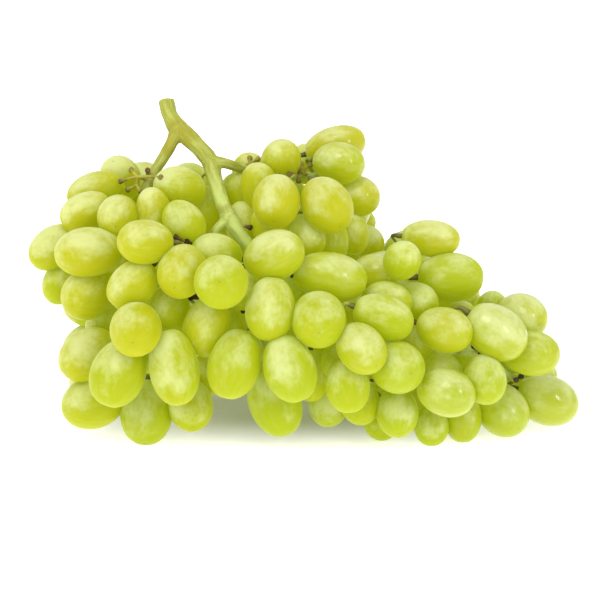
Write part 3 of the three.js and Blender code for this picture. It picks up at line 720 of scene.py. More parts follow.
FLESH = ("#919c00", "#a19b00")  # green, and golden where it is ripe
RIPENING = (0.2, 1.3)     # ripeness over which the one turns into the other
VEINS = (0.46, 0.74, 0.14)  # where their pattern begins and is full, and how pale they are
MERIDIAN_STRETCH = 0.35   # of the veins along a berry
BLOOM_CORE = (0, 10, 5)   # berries look outwards from here
PAINTED_HIGHLIGHT_SIDE = (-0.2, -0.4, 0.89)  # painted highlight: the pale bloom is laid thickest on the side facing the key light
BLOOM_SHARES = (0.35, 0.2, 0.1, 0.42)  # of mottling, of the berry's own, of the outer side, and of the lit side as a painted highlight
BLOOM_EDGE = (0.9, 1.42)  # of a patch
BLOOM_FILM = 0.02         # share of pale dust all over a berry
BLOOM_PATCH = 0.6         # and more in patches
LENTICELS = (0.09, 0.05, 0.2)  # radius of a dot and of its full middle, and how pale it is
SCAR_WIDTH = (0.06, 0.03)  # across the free end, outer edge and full middle
SCAR_DEPTH = (0.5, 0.8)   # and along the berry
SCAR_SHARE = 0.4
STALK_END = (-0.8, -0.97, 0.3)  # where the greener end begins and is full, and how green it is
SKIN_ROUGHNESS = (0.38, 0.55)  # clean and dusty
GLOSS_SMOOTHING = -0.1    # change of roughness on a glossy berry
PORES = (0.12, 0.0002)    # strength and depth in metres
PAINTED_INNER_GLOW = 0.26        # painted glow: emission standing in for light that has come through the other berries


def grape_skin():
    """Thin waxy skin with a dusty bloom that is partly a painted highlight, over wet translucent flesh with
    a painted yellow-green glow.
    """
    material, tree = new_material("waxy_grape_skin")
    local = add_node(tree, "ShaderNodeAttribute", attribute_name="local")["Vector"]
    seed, tint, bloom, gloss = (
        add_node(tree, "ShaderNodeAttribute", attribute_name=name)["Fac"]
        for name in ("seed", "tint", "bloom", "gloss")
    )
    apart = add_node(tree, "ShaderNodeCombineXYZ", {0: seed, 1: seed, 2: seed})[0]
    here = add_node(tree, "ShaderNodeVectorMath", {0: local, 1: apart}, operation="ADD")[0]
    across, deep, along = add_node(tree, "ShaderNodeSeparateXYZ", {0: local})

    # flesh seen through the skin: green, golden in places
    cloud = add_node(
        tree, "ShaderNodeTexNoise", {"Vector": here, "Scale": CLOUD_SCALE, "Detail": 2.0}
    )["Fac"]
    ripe = add_node(tree, "ShaderNodeMath", {0: cloud, 1: 0.5, 2: tint}, operation="MULTIPLY_ADD")[0]
    colour = overlaid(tree, *FLESH, ripe, *RIPENING)

    # paler veins from pole to pole
    flat = add_node(tree, "ShaderNodeCombineXYZ", {0: across, 1: deep})[0]
    radius = add_node(tree, "ShaderNodeVectorMath", {0: flat}, operation="LENGTH")["Value"]
    outward = add_node(tree, "ShaderNodeVectorMath", {0: flat}, operation="NORMALIZE")[0]
    height = add_node(
        tree, "ShaderNodeMath", {0: along, 1: MERIDIAN_STRETCH, 2: seed}, operation="MULTIPLY_ADD"
    )[0]
    lifted = add_node(tree, "ShaderNodeCombineXYZ", {2: height})[0]
    meridian = add_node(tree, "ShaderNodeVectorMath", {0: outward, 1: lifted}, operation="ADD")[0]
    veins = add_node(
        tree, "ShaderNodeTexNoise", {"Vector": meridian, "Scale": VEIN_SCALE, "Detail": 3.0}
    )["Fac"]
    colour = overlaid(tree, colour, "#b4bd5c", veins, *VEINS)

    # bloom: a pale dust, patchy; neighbours rub it off, so the outer side of a berry keeps most; it is also
    # laid thicker on the side facing the key light, a painted highlight
    place = add_node(tree, "ShaderNodeTexCoord")
    arm = add_node(
        tree, "ShaderNodeVectorMath", {0: place["Object"], 1: placed(BLOOM_CORE)}, operation="SUBTRACT"
    )[0]
    away = add_node(tree, "ShaderNodeVectorMath", {0: arm}, operation="NORMALIZE")[0]
    outer, facing_light = (
        add_node(
            tree, "ShaderNodeVectorMath", {0: side, 1: place["Normal"]}, operation="DOT_PRODUCT"
        )["Value"]
        for side in (away, PAINTED_HIGHLIGHT_SIDE)
    )
    laid, mottling = (
        add_node(tree, "ShaderNodeTexNoise", {"Vector": here, "Scale": scale, "Detail": detail})["Fac"]
        for scale, detail in ((DUST_SCALE, 2.0), (MOTTLE_SCALE, 5.0))
    )
    for value, share in zip((mottling, bloom, outer, facing_light), BLOOM_SHARES):
        laid = add_node(tree, "ShaderNodeMath", {0: value, 1: share, 2: laid}, operation="MULTIPLY_ADD")[0]
    low, high = BLOOM_EDGE
    bloom_and_highlight_patch = add_node(
        tree, "ShaderNodeMapRange", {0: laid, 1: low, 2: high}, interpolation_type="SMOOTHSTEP"
    )[0]
    dust_and_painted_highlight = add_node(
        tree, "ShaderNodeMath", {0: bloom_and_highlight_patch, 1: BLOOM_PATCH, 2: BLOOM_FILM}, operation="MULTIPLY_ADD"
    )[0]
    # the pale colour stands for real dust and for the painted highlight on the lit side
    colour = add_node(tree, "ShaderNodeMix", {0: dust_and_painted_highlight, 6: colour, 7: linear("#ccd0aa")}, data_type="RGBA")[2]

    # lenticels: tiny pale dots; a brown scar at the free end; a greener stalk end
    dots = add_node(tree, "ShaderNodeTexVoronoi", {"Vector": here, "Scale": LENTICEL_SCALE})["Distance"]
    colour = overlaid(tree, colour, "#dfe2a0", dots, *LENTICELS)
    inside, beyond = (
        add_node(
            tree, "ShaderNodeMapRange", {0: value, 1: start, 2: full}, interpolation_type="SMOOTHSTEP"
        )[0]
        for value, (start, full) in ((radius, SCAR_WIDTH), (along, SCAR_DEPTH))
    )
    tip = add_node(tree, "ShaderNodeMath", {0: inside, 1: beyond}, operation="MULTIPLY")[0]
    scar = add_node(tree, "ShaderNodeMath", {0: tip, 1: SCAR_SHARE}, operation="MULTIPLY")[0]
    colour = add_node(tree, "ShaderNodeMix", {0: scar, 6: colour, 7: linear("#6a5a20")}, data_type="RGBA")[2]
    colour = overlaid(tree, colour, "#8f9c20", along, *STALK_END)

    # dusty skin is dull, and a shiny berry is a little smoother; its surface is finely uneven
    clean, dusty = SKIN_ROUGHNESS
    dull = add_node(
        tree, "ShaderNodeMapRange", {0: bloom_and_highlight_patch, 3: clean, 4: dusty}, interpolation_type="SMOOTHSTEP"
    )[0]
    rough = add_node(
        tree, "ShaderNodeMath", {0: gloss, 1: GLOSS_SMOOTHING, 2: dull}, operation="MULTIPLY_ADD"
    )[0]
    pores = add_node(tree, "ShaderNodeTexNoise", {"Vector": here, "Scale": PORE_SCALE, "Detail": 4.0})["Fac"]
    strength, depth = PORES
    bump = add_node(tree, "ShaderNodeBump", {"Strength": strength, "Distance": depth, "Height": pores})[0]
    surface(tree, {
        "Base Color": colour, "Roughness": rough, "Normal": bump, "Coat Weight": gloss,
        "Coat Roughness": 0.16, "Coat IOR": 1.5, "IOR": 1.4, "Specular IOR Level": 0.18,
        "Subsurface Weight": 0.8, "Subsurface Radius": (1.0, 0.95, 0.22), "Subsurface Scale": 0.01,
        "Sheen Weight": 0.16, "Sheen Roughness": 0.25, "Sheen Tint": linear("#f2f4d8"),
        # painted glow: a yellow-green emission standing in for light come through the other berries
        "Emission Color": linear("#b5c700"), "Emission Strength": PAINTED_INNER_GLOW,
    })
    return material


# patterns on a rind, to the millimetre
STRIPE_SCALE = 1.3        # stripes under 1 mm apart
STRIPE_STRETCH = (0.12, 1.0, 1.0)  # lengthwise
BLOTCH_SCALE = 0.16       # blotches 6 mm wide
SPECKLE_SCALE = 1.6       # specks of 0.6 mm

STRIPES = (0.38, 0.64)    # from green to pale
SPECKS = (0.62, 0.74, 0.3)  # where a speck begins and is full, and how brown it is
SPECK_HEIGHT = 0.4        # over that of the stripes
RIND_DEPTH = 0.0006       # of both, in metres
BLOTCHES = (-0.15, 0.35)  # how much younger or older than its age the rind looks
FRESH_AGES = (-0.1, -0.75)  # where it turns pale green
BROWN_AGES = (0.15, 0.95)
# near-black, which the stubs in the gaps between berries reach: dried rind and painted shade of the gaps
BLACK_AGES = (1.1, 1.7)
RIND_ROUGHNESS = (0.5, 0.72)


def stalk_rind(name, green, pale, old, bump_strength):
    """Fibrous rind: striped lengthwise, speckled, browning where it is old."""
    material, tree = new_material(name)
    grain = add_node(tree, "ShaderNodeAttribute", attribute_name="grain")["Vector"]
    age = add_node(tree, "ShaderNodeAttribute", attribute_name="age")["Fac"]
    drawn = add_node(tree, "ShaderNodeVectorMath", {0: grain, 1: STRIPE_STRETCH}, operation="MULTIPLY")[0]
    stripes, clouds, speckle = (
        add_node(tree, "ShaderNodeTexNoise", {"Vector": where, "Scale": scale, "Detail": detail})["Fac"]
        for where, scale, detail in (
            (drawn, STRIPE_SCALE, 4.0), (grain, BLOTCH_SCALE, 3.0), (grain, SPECKLE_SCALE, 3.0),
        )
    )
    younger, older = BLOTCHES
    smooth, rough = RIND_ROUGHNESS
    blotch, dull = (
        add_node(
            tree, "ShaderNodeMapRange", {0: value, 1: low, 2: high, 3: to_low, 4: to_high},
            interpolation_type="SMOOTHSTEP",
        )[0]
        for value, low, high, to_low, to_high in (
            (clouds, 0.4, 0.8, younger, older), (speckle, 0.3, 0.7, smooth, rough),
        )
    )
    looks = add_node(tree, "ShaderNodeMath", {0: age, 1: blotch}, operation="ADD")[0]
    colour = overlaid(tree, green, pale, stripes, *STRIPES)
    for other, ages in (("#ccdc78", FRESH_AGES), (old, BROWN_AGES), ("#1d1507", BLACK_AGES)):
        colour = overlaid(tree, colour, other, looks, *ages)
    ridges = add_node(
        tree, "ShaderNodeMath", {0: speckle, 1: SPECK_HEIGHT, 2: stripes}, operation="MULTIPLY_ADD"
    )[0]
    surface(tree, {
        "Base Color": overlaid(tree, colour, "#7a5a2c", speckle, *SPECKS), "Roughness": dull,
        "Normal": add_node(
            tree, "ShaderNodeBump", {"Strength": bump_strength, "Distance": RIND_DEPTH, "Height": ridges}
        )[0],
        "Subsurface Weight": 0.15, "Subsurface Radius": (1.0, 0.9, 0.4), "Subsurface Scale": 0.0015,
    })
    return material


FIBRE_SCALE = 2200.0      # to the metre: fibres of the cut end, half a millimetre apart
FIBRE_WAVE = 0.5          # how far they bend its rings
PITH = (0.1, 0.55)        # shares of the radius over which the pith turns to wood
RIM = (0.7, 1.0)          # and the wood to the rim


def cut_wood():
    """Dry cut end: tan rings round a pale pith, darker towards the rim."""
    material, tree = new_material("dry_cut_stalk_wood")
    ring = add_node(tree, "ShaderNodeAttribute", attribute_name="ring")["Fac"]
    where = add_node(tree, "ShaderNodeTexCoord")["Object"]
    fibres = add_node(
        tree, "ShaderNodeTexNoise", {"Vector": where, "Scale": FIBRE_SCALE, "Detail": 3.0}
    )["Fac"]
    wave = add_node(tree, "ShaderNodeMath", {0: fibres, 1: 0.5}, operation="SUBTRACT")[0]
    spread = add_node(tree, "ShaderNodeMath", {0: wave, 1: FIBRE_WAVE, 2: ring}, operation="MULTIPLY_ADD")[0]
    colour = overlaid(tree, "#d9c48c", "#b98f52", spread, *PITH)
    surface(tree, {
        "Base Color": overlaid(tree, colour, "#5d4322", spread, *RIM), "Roughness": 0.8,
        "Normal": add_node(
            tree, "ShaderNodeBump", {"Strength": 0.5, "Distance": 0.0004, "Height": fibres}
        )[0],
    })
    return material


# ---- the berries --------------------------------------------------------------------------------
BERRY_SIDES = 40
BERRY_RINGS = 30
POLE_CROWDING = 0.55      # how much the rings crowd towards the poles
FULLNESS = 0.94           # below 1, fuller than an ellipsoid
PEAR = 0.035              # how much wider towards the free end
DIMPLE = (0.07, 0.17)     # at the stalk end: depth over half length, reach over half width
FLAT_TIP = (0.03, 0.16)   # at the free end
SCAR_NUB = (0.018, 0.045)
WAVE = 0.55               # of the skin, in millimetres
WAVE_SCALE = 62.0         # waves to the metre
FLOOR_LIMIT = (-9.0, -9.0, 0.0)  # no point of a berry lies below the surface
TINTS = (0, 0.6)          # how golden a berry is by itself
RIPER_UP = 0.0055         # golden tint gained for each millimetre upwards
RIPER_LEFT = 0.002        # and to the left
GLOSS = 0.7               # of the shiniest berries
SHINE = (1.4, -0.8)       # most berries are dull
SHINY_RIGHT = 90          # and they get shinier over this distance to the right
SEEDS = (0, 50)           # of a berry's own pattern


def hollow(r, shape):
    """The depth of a round hollow or knob at a distance from its middle."""
    return shape[0] * math.exp(-(r / shape[1]) ** 2)


def berry_template():
    """One berry of half length 1 along z, its stalk end down, with its own coordinates on it."""
    points = []
    for i in range(BERRY_RINGS + 1):
        t = i / BERRY_RINGS
        turn = math.pi * (t - POLE_CROWDING * math.sin(4 * math.pi * t) / (4 * math.pi))
        z = -math.cos(turn)
        r = math.sin(turn) ** FULLNESS * (1 + PEAR * z)
        if z < 0:
            z += hollow(r, DIMPLE)
        else:
            z += hollow(r, SCAR_NUB) - hollow(r, FLAT_TIP)
        if i in (0, BERRY_RINGS):
            points.append((0.0, 0.0, z))
        else:
            points += [(r * x, r * y, z) for x, y in circle(BERRY_SIDES)]
    last = len(points) - 1
    faces = ring_faces(BERRY_RINGS - 1, BERRY_SIDES, 1)
    for k in range(BERRY_SIDES):
        k2 = (k + 1) % BERRY_SIDES
        faces += [(0, 1 + k2, 1 + k), (last, last - BERRY_SIDES + k, last - BERRY_SIDES + k2)]
    return linked("berry", points_mesh("berry", points, [], {"local": points}, faces))


def berry_tree():
    """Berries on the points of a spray: set out, turned and sized, then waved and pressed flat below."""
    tree, given = new_group("berries_on_a_spray", {
        "Berry": "Object", "Skin": "Material", "Wave": "Float", "Wave Scale": "Float",
    })
    facing, size = (
        add_node(tree, "GeometryNodeInputNamedAttribute", {0: name}, data_type="FLOAT_VECTOR")[0]
        for name in ("facing", "size")
    )
    set_out = add_node(tree, "GeometryNodeInstanceOnPoints", {
        "Points": given["Geometry"],
        "Instance": add_node(tree, "GeometryNodeObjectInfo", {"Object": given["Berry"]})["Geometry"],
        "Rotation": add_node(tree, "FunctionNodeEulerToRotation", {0: facing})[0], "Scale": size,
    })[0]
    real = add_node(tree, "GeometryNodeRealizeInstances", {0: set_out})[0]
    waved = moved_out(tree, real, given["Wave Scale"], 1.0, given["Wave"])
    where = add_node(tree, "GeometryNodeInputPosition")[0]
    pressed = add_node(tree, "ShaderNodeVectorMath", {0: where, 1: FLOOR_LIMIT}, operation="MAXIMUM")[0]
    resting = add_node(tree, "GeometryNodeSetPosition", {"Geometry": waved, "Position": pressed})[0]
    return finished(tree, resting, given["Skin"])


def make_berries(berries, skin):
    draw = Draw(SEED + 1)
    template = berry_template()
    tree = berry_tree()
    for spray in SPRAYS:
        points = []
        of_berry = {name: [] for name in ("facing", "size", "tint", "bloom", "gloss", "seed")}
        for berry in berries:
            if berry.spray != spray:
                continue
            x, _, z = berry.centre
            turn = Vector(berry.axis).to_track_quat("Z", "X").to_euler()
            riper = (z - SIGHT_HEIGHT) * RIPER_UP - x * RIPER_LEFT
            tint = draw(*TINTS) + riper
            bloom = draw(0, 1)
            shine = draw(0, 1) * SHINE[0] + SHINE[1] + x / SHINY_RIGHT
            points.append(placed(berry.centre))
            for values, value in zip(of_berry.values(), (
                tuple(turn), (berry.b * MM, berry.b * MM, berry.a * MM), tint, bloom,
                GLOSS * min(1, max(0, shine)), draw(*SEEDS),
            )):
                values.append(value)
        mesh = points_mesh(spray, points, [], of_berry)
        piece = piece_from("berries_" + spray + "_skin", mesh, tree, {
            "Berry": template, "Skin": skin, "Wave": WAVE * MM, "Wave Scale": WAVE_SCALE,
        })
        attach(piece, "root")
        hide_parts("berries_" + spray)
    bpy.data.objects.remove(template)


# ---- the stalk ----------------------------------------------------------------------------------
VOXEL = 0.5               # of the stalk's skin
STALK_SIDES = 14
STALK_STEP = 1.0
STALK_SHRINK = 0.15       # taken off by the smoothing, so added first
SMOOTHING = (0.5, 8)      # of that skin: share of the way each round, and rounds
CUT_SPARE = 3.0           # of stalk beyond the cut, trimmed off again
CUT_LIP = 0.6             # around the cut, left smooth
START_SIDE = (0.31, 0.89, 0.33)  # never in line with a stalk
FLUTE = (0.32, 2)         # depth of the lengthwise furrows, full from this radius up
FLUTE_SCALE = (1.5, 0.05)  # around the stalk and along it
KNOBBLE = (0.3, 2.5)      # depth of the uneven surface, full from this radius up
KNOBBLE_SCALE = (0.25, 0.3)  # along the stalk and across it
OLD = 0.65                # how brown the rind is at the fork
FORK_AT = 15              # and how far that is from the cut
FORK_REACH = 7
PALER_DOWN = 0.48              # how much paler green the rind is further down: partly its fresher colour, partly a painted highlight along the lower stalk
PALER_FROM = 30
PALER_REACH = 20


def carried_frames(line):
    """Two vectors square to a line at every sample, carried along without twisting, and its direction."""
    steps = np.gradient(np.array([p[:3] for p in line]), axis=0)
    steps /= np.linalg.norm(steps, axis=1)[:, None]
    side = np.cross(steps[0], START_SIDE)
    frames = []
    for step in steps:
        side = side - step * np.dot(side, step)
        side /= np.linalg.norm(side)
        frames.append((side, np.cross(step, side), step))
    return frames


def stalk_tubes(lines):
    """Closed tubes along the centre lines, with a sample of the line for every ring."""
    points, faces, samples = [], [], []
    for name, line in lines.items():
        frames = carried_frames(line)
        centres = [p[:3] for p in line]
        if name == "axis":
            centres[0] = centres[0] - frames[0][2] * CUT_SPARE
        first = len(points)
        run = 0.0
        for i, (centre, (side, other, _)) in enumerate(zip(centres, frames)):
            radius = line[i][3] + STALK_SHRINK
            run += np.linalg.norm(line[i][:3] - line[i - 1][:3]) if i else 0.0
            samples.append((line[i][:3], side, other, run, line[i][3]))
            points += [centre + (side * x + other * y) * radius for x, y in circle(STALK_SIDES)]
        faces += ring_faces(len(centres), STALK_SIDES, first)
        start, end = range(first, first + STALK_SIDES), range(len(points) - STALK_SIDES, len(points))
        faces += [tuple(start)[::-1], tuple(end)]
    return points_mesh("stalk_tubes", [placed(p) for p in points], [], {}, faces), samples


def cut_square(bm, top, down):
    """Trims the stalk's spare end, caps it with cut wood and returns the points of its rim."""
    cut = bmesh.ops.bisect_plane(
        bm, geom=bm.verts[:] + bm.edges[:] + bm.faces[:], plane_co=placed(top), plane_no=tuple(-down),
        clear_outer=True,
    )
    rim = [e for e in cut["geom_cut"] if isinstance(e, bmesh.types.BMEdge)]
    for edge in rim:
        edge.smooth = False
    for face in bm.faces:
        face.smooth = True
    cap = bmesh.ops.contextual_create(bm, geom=rim)["faces"]
    for face in bmesh.ops.poke(bm, faces=cap)["faces"]:
        face.material_index = 1
        face.smooth = True
    bm.normal_update()
    return {v for e in rim for v in e.verts}


def furrow(bm, samples, top, rim):
    """Furrows and knobbles, lengthwise, from the nearest centre line, with what the rind needs."""
    tree = KDTree(len(samples))
    for i, sample in enumerate(samples):
        tree.insert(placed(sample[0]), i)
    tree.balance()
    grain = bm.verts.layers.float_vector.new("grain")
    age = bm.verts.layers.float.new("age")
    ring = bm.verts.layers.float.new("ring")
    top_at = Vector(placed(top))
    moved = []
    for vert in bm.verts:
        centre, side, other, run, radius = samples[tree.find(vert.co)[1]]
        arm = np.array(vert.co) / MM + np.array((*MIDDLE, 0)) - centre
        x = float(np.dot(arm, side))
        y = float(np.dot(arm, other))
        along = run + float(np.dot(arm, np.cross(side, other)))
        far = (vert.co - top_at).length / MM
        young = min(1, max(0, (far - PALER_FROM) / PALER_REACH))
        vert[grain] = (along, x, y)
        # brown at the fork; paler further down, partly a painted highlight
        vert[age] = OLD * math.exp(-((far - FORK_AT) / FORK_REACH) ** 2) - PALER_DOWN * young
        vert[ring] = 1.0 if vert in rim else 0.0
        if vert in rim or far < CUT_LIP:
            moved.append(0.0)
            continue
        turn = math.atan2(y, x)
        around, lengthwise = FLUTE_SCALE
        flute = noise.noise(Vector((math.cos(turn) * around, math.sin(turn) * around, along * lengthwise)))
        lengthwise, across = KNOBBLE_SCALE
        knobble = noise.noise(Vector((along * lengthwise, x * across, y * across)))
        moved.append(sum(
            depth * height * min(1, radius / full)
            for (depth, full), height in ((FLUTE, flute), (KNOBBLE, knobble))
        ))
    for vert, height in zip(bm.verts, moved):
        vert.co += vert.normal * height * MM


def make_stalk(rind, wood):
    """The stalk and its branches: tubes grown together, furrowed, and cut square at the top."""
    lines = {
        name: rounded([(*sighted(*place)[0], radius) for *place, radius in rows], STALK_STEP)
        for name, rows in STEM.items()
    }
    mesh, samples = stalk_tubes(lines)
    holder = linked("stalk_tubes", mesh)
    remesh = holder.modifiers.new("one_skin", "REMESH")
    remesh.mode = "VOXEL"
    remesh.voxel_size = VOXEL * MM
    smooth = holder.modifiers.new("grown_together", "SMOOTH")
    smooth.factor, smooth.iterations = SMOOTHING
    skin = applied(holder, "stalk")

    top = lines["axis"][0][:3]
    bm = bmesh.new()
    bm.from_mesh(skin)
    rim = cut_square(bm, top, carried_frames(lines["axis"])[0][2])
    furrow(bm, samples, top, rim)
    bm.to_mesh(skin)
    bm.free()
    skin.materials.clear()
    skin.materials.append(rind)
    skin.materials.append(wood)
    piece = linked("stalk", skin)
    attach(piece, "root")
    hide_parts("stem")


# ---- the pedicels -------------------------------------------------------------------------------
PEDICEL_SIDES = 10
PEDICEL_STEP = 0.7
THIN = 0.62               # radius of a pedicel
ROOT_FLARE = 1.15         # and how much thicker it starts
SWELL = (3.2, 0.85)       # its radius this far before the berry
COLLAR = (0.9, 1.25)      # the warty collar the berry sits on
SEAT = (-0.6, 1.3)        # its end, inside the berry's dimple
BROWN_FROM = 0.8          # share of its way from which it is brown, and how brown
DRY_PEDICELS = (25, 0.1, 0.6)  # pedicels right of this are browner: age to the left and to the right
STUB_THIN = 0.6           # radius of a bare pedicel
STUB_SHAPE = (1.2, 1.0, 1.1)  # over that: at the root, the bend and before the end
STUB_NECK = -1.6          # where it starts to widen, from its end
STUB_END = ((-0.4, 1.18), (0.3, 0.944))  # from its end, and radius
STUB_STEP = 0.5
DARK_STUBS_AND_GAP_SHADE = (-30, 1.6, 0.68)  # bare pedicels nearer the eye, in the gaps between berries, are near-black: dried rind and painted shade of those gaps; age of those and of the others
STUB_ROOT_AGE = 0.15      # share of that age at the root
WARTS = 0.5               # height over radius
WART_SCALE = 900.0        # warts to the metre
GRAIN_APART = 7.0         # between the patterns of two pedicels


def pedicel_tree():
    """Round stalks swept along lines, with a warty surface where they are thick."""
    tree, given = new_group("stalks_along_ways", {
        "Rind": "Material", "Sides": "Int", "Step": "Float", "Warts": "Float",
    })
    curve = add_node(tree, "GeometryNodeMeshToCurve", {0: given["Geometry"]})[0]
    even = add_node(
        tree, "GeometryNodeResampleCurve", {"Curve": curve, "Length": given["Step"]}, mode="LENGTH"
    )[0]
    thick = add_node(tree, "GeometryNodeInputNamedAttribute", {0: "thickness"}, data_type="FLOAT")[0]
    ring = add_node(
        tree, "GeometryNodeCurvePrimitiveCircle", {"Resolution": given["Sides"], "Radius": 1.0}
    )[0]
    tube = add_node(tree, "GeometryNodeCurveToMesh", {
        "Curve": even, "Profile Curve": ring, "Scale": thick, "Fill Caps": True,
    })[0]
    height = add_node(tree, "ShaderNodeMath", {0: thick, 1: given["Warts"]}, operation="MULTIPLY")[0]
    warty = moved_out(tree, tube, WART_SCALE, 2.0, height)
    real = add_node(tree, "GeometryNodeRealizeInstances", {0: warty})[0]
    return finished(tree, real, given["Rind"])


def pedicel_piece(name, ways, tree, rind, step):
    """Stalks along ways of (position, radius) samples, each with its age at every share of the way."""
    points, edges, thickness, grain, age = [], [], [], [], []
    for number, (way, old) in enumerate(ways):
        run = 0.0
        for i, row in enumerate(way):
            if i:
                run += float(np.linalg.norm(row[:3] - way[i - 1][:3]))
                edges.append((len(points) - 1, len(points)))
            points.append(placed(row[:3]))
            thickness.append(float(row[3]) * MM)
            grain.append((run, number * GRAIN_APART, 0.0))
            age.append(old(i / (len(way) - 1)))
    mesh = points_mesh(name + "_ways", points, edges, {"thickness": thickness, "grain": grain, "age": age})
    piece = piece_from(name, mesh, tree, {
        "Rind": rind, "Sides": PEDICEL_SIDES, "Step": step * MM, "Warts": WARTS,
    })
    bm = bmesh.new()
    bm.from_mesh(piece.data)
    bmesh.ops.recalc_face_normals(bm, faces=bm.faces[:])
    bm.to_mesh(piece.data)
    bm.free()
    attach(piece, "root")
    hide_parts("stem")


def make_pedicels(berries, pedicels, tree, rind):
    limit, left_age, right_age = DRY_PEDICELS
    ways = []
    for i, way in pedicels:
        berry = berries[i]
        base = add(berry.centre, berry.axis, -berry.a)
        scale = berry.b / BACK_HALF_WIDTH
        rows = [(*way[0], THIN * scale * ROOT_FLARE)]
        rows += [(*p, THIN * scale) for p in way[1:-1]]
        for back, radius in (SWELL, COLLAR, SEAT):
            rows.append((*add(base, berry.axis, -back), radius * scale))
        dry = right_age if base[0] > limit else left_age
        ways.append((
            rounded(rows, PEDICEL_STEP), lambda t, dry=dry: max(dry, BROWN_FROM if t > BROWN_FROM else 0)
        ))
    pedicel_piece("pedicels", ways, tree, rind, PEDICEL_STEP)


def make_stubs(tree, rind):
    limit, dark_and_shade_age, far_age = DARK_STUBS_AND_GAP_SHADE
    ways = []
    for places in BARE_PEDICELS:
        root, bend, end = (sighted(*place)[0] for place in places)
        # stubs nearer the eye sit in the gaps and are made near-black: dried rind and painted shade
        dry = far_age if places[0][2] > limit else dark_and_shade_age
        last = unit(sub(end, bend))
        centres = (root, bend, add(end, last, STUB_NECK))
        rows = [(*centre, STUB_THIN * share) for centre, share in zip(centres, STUB_SHAPE)]
        rows += [(*add(end, last, on), radius) for on, radius in STUB_END]
        ways.append((rounded(rows, STUB_STEP), lambda t, dry=dry: (
            dry * (STUB_ROOT_AGE + (1 - STUB_ROOT_AGE) * t * t)
        )))
    pedicel_piece("bare_pedicels", ways, tree, rind, STUB_STEP)


# ---- the bunch ----------------------------------------------------------------------------------
def make_bunch():
    stems = []
    for rows in STEM.values():
        points = [(sighted(*place)[0], radius) for *place, radius in rows]
        stems += [(p[0], q[0], p[1], q[1]) for p, q in zip(points, points[1:])]
    berries = shown_berries() + hidden_berries(Draw(SEED))
    settle(berries, stems)
    pedicels = grow_pedicels(berries, stems)

    make_berries(berries, grape_skin())
    green = stalk_rind("green_stalk_rind", "#979d2e", "#b1b550", "#9c9410", bump_strength=0.25)
    make_stalk(green, cut_wood())
    tree = pedicel_tree()
    young = stalk_rind("young_pedicel_rind", "#8b9a26", "#a5b046", "#54421a", bump_strength=0.3)
    make_pedicels(berries, pedicels, tree, young)
    dried = stalk_rind("dried_pedicel_rind", "#9a9526", "#b9ad44", "#5a4412", bump_strength=0.8)
    make_stubs(tree, dried)


# ---- camera, floor and light --------------------------------------------------------------------
LENS = 90
SENSOR = 36
FARTHEST = 100            # that the camera sees, in metres
FLOOR_HALF = 40.0         # in metres, as all below
CARD_SCALE = 30.0         # mottling of the card to the metre
FLOOR_GLOW_AND_PAINTED_SHADE = (0.08, 1.0)        # of the floor, under the bunch and beyond it; the lower glow under the bunch is painted shade
# the oval of painted shade, where the floor glows less: its middle and half sizes
PAINTED_SHADE_MIDDLE = (0, 0.02, 0)
PAINTED_SHADE_OVAL = (0.16, 0.08)
PAINTED_SHADE_REACH = (0.22, 0.98)  # shares of that oval
WORLD = 0.78              # brightness of the white surroundings
AIM = (0, 0, 0.05)        # of the lights
LIGHTS = {                # place, width and height, power and colour
    "key": ((-0.35, -0.6, 0.95), (0.5, 0.5), 5, "#fffdf8"),
    "right_strip": ((0.55, -0.75, 0.5), (0.1, 0.3), 1.7, "#ffffff"),
}


def make_camera():
    camera = linked("camera", bpy.data.cameras.new("camera"))
    camera.data.lens = LENS
    camera.data.sensor_width = SENSOR
    camera.data.clip_end = FARTHEST
    camera.location = placed(EYE)
    camera.rotation_euler = (math.radians(90 - EYE_ANGLE), 0, 0)
    bpy.context.scene.camera = camera


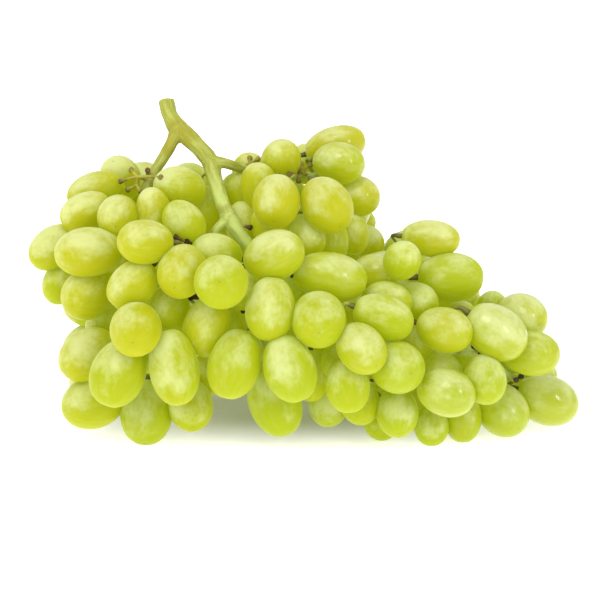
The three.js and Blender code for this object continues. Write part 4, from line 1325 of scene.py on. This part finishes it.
def make_floor():
    """A white card that glows softly so it stays white round its shadow; it glows less under the bunch, a
    painted shade there.
    """
    corners = [(x * FLOOR_HALF, y * FLOOR_HALF, 0) for x, y in ((-1, -1), (1, -1), (1, 1), (-1, 1))]
    mesh = points_mesh("floor", corners, [], {}, [(0, 1, 2, 3)])
    material, tree = new_material("white_card_painted_shade")
    where = add_node(tree, "ShaderNodeTexCoord")["Object"]
    mottle = add_node(
        tree, "ShaderNodeTexNoise", {"Vector": where, "Scale": CARD_SCALE, "Detail": 3.0}
    )["Fac"]
    colour = add_node(
        tree, "ShaderNodeMix", {0: mottle, 6: linear("#dddcde"), 7: linear("#d8d7d9")}, data_type="RGBA"
    )[2]
    off = add_node(tree, "ShaderNodeVectorMath", {0: where, 1: PAINTED_SHADE_MIDDLE}, operation="SUBTRACT")[0]
    flat = (*(1 / half for half in PAINTED_SHADE_OVAL), 0)
    spread = add_node(tree, "ShaderNodeVectorMath", {0: off, 1: flat}, operation="MULTIPLY")[0]
    away = add_node(tree, "ShaderNodeVectorMath", {0: spread}, operation="LENGTH")["Value"]
    # painted shade: the glow drops under the bunch
    glow_and_painted_shade = add_node(
        tree, "ShaderNodeMapRange", dict(enumerate((away, *PAINTED_SHADE_REACH, *FLOOR_GLOW_AND_PAINTED_SHADE))),
        interpolation_type="SMOOTHSTEP",
    )[0]
    surface(tree, {
        "Base Color": colour, "Roughness": 0.9, "Emission Color": linear("#ffffff"),
        "Emission Strength": glow_and_painted_shade,
    })
    mesh.materials.append(material)
    floor = linked("floor", mesh)


def make_lights():
    world = bpy.data.worlds.new("studio")
    world.use_nodes = True
    background = world.node_tree.nodes["Background"]
    background.inputs[0].default_value = linear("#ffffff")
    background.inputs[1].default_value = WORLD
    bpy.context.scene.world = world
    for name, (place, size, power, colour) in LIGHTS.items():
        light = bpy.data.lights.new(name, "AREA")
        light.shape = "RECTANGLE"
        light.size, light.size_y = size
        light.energy = power
        light.color = linear(colour)[:3]
        lamp = linked(name, light)
        lamp.location = place
        lamp.rotation_euler = (Vector(AIM) - Vector(place)).to_track_quat("-Z", "Y").to_euler()
    bpy.context.scene.view_settings.view_transform = "Standard"


make_camera()
make_bunch()
make_floor()
make_lights()
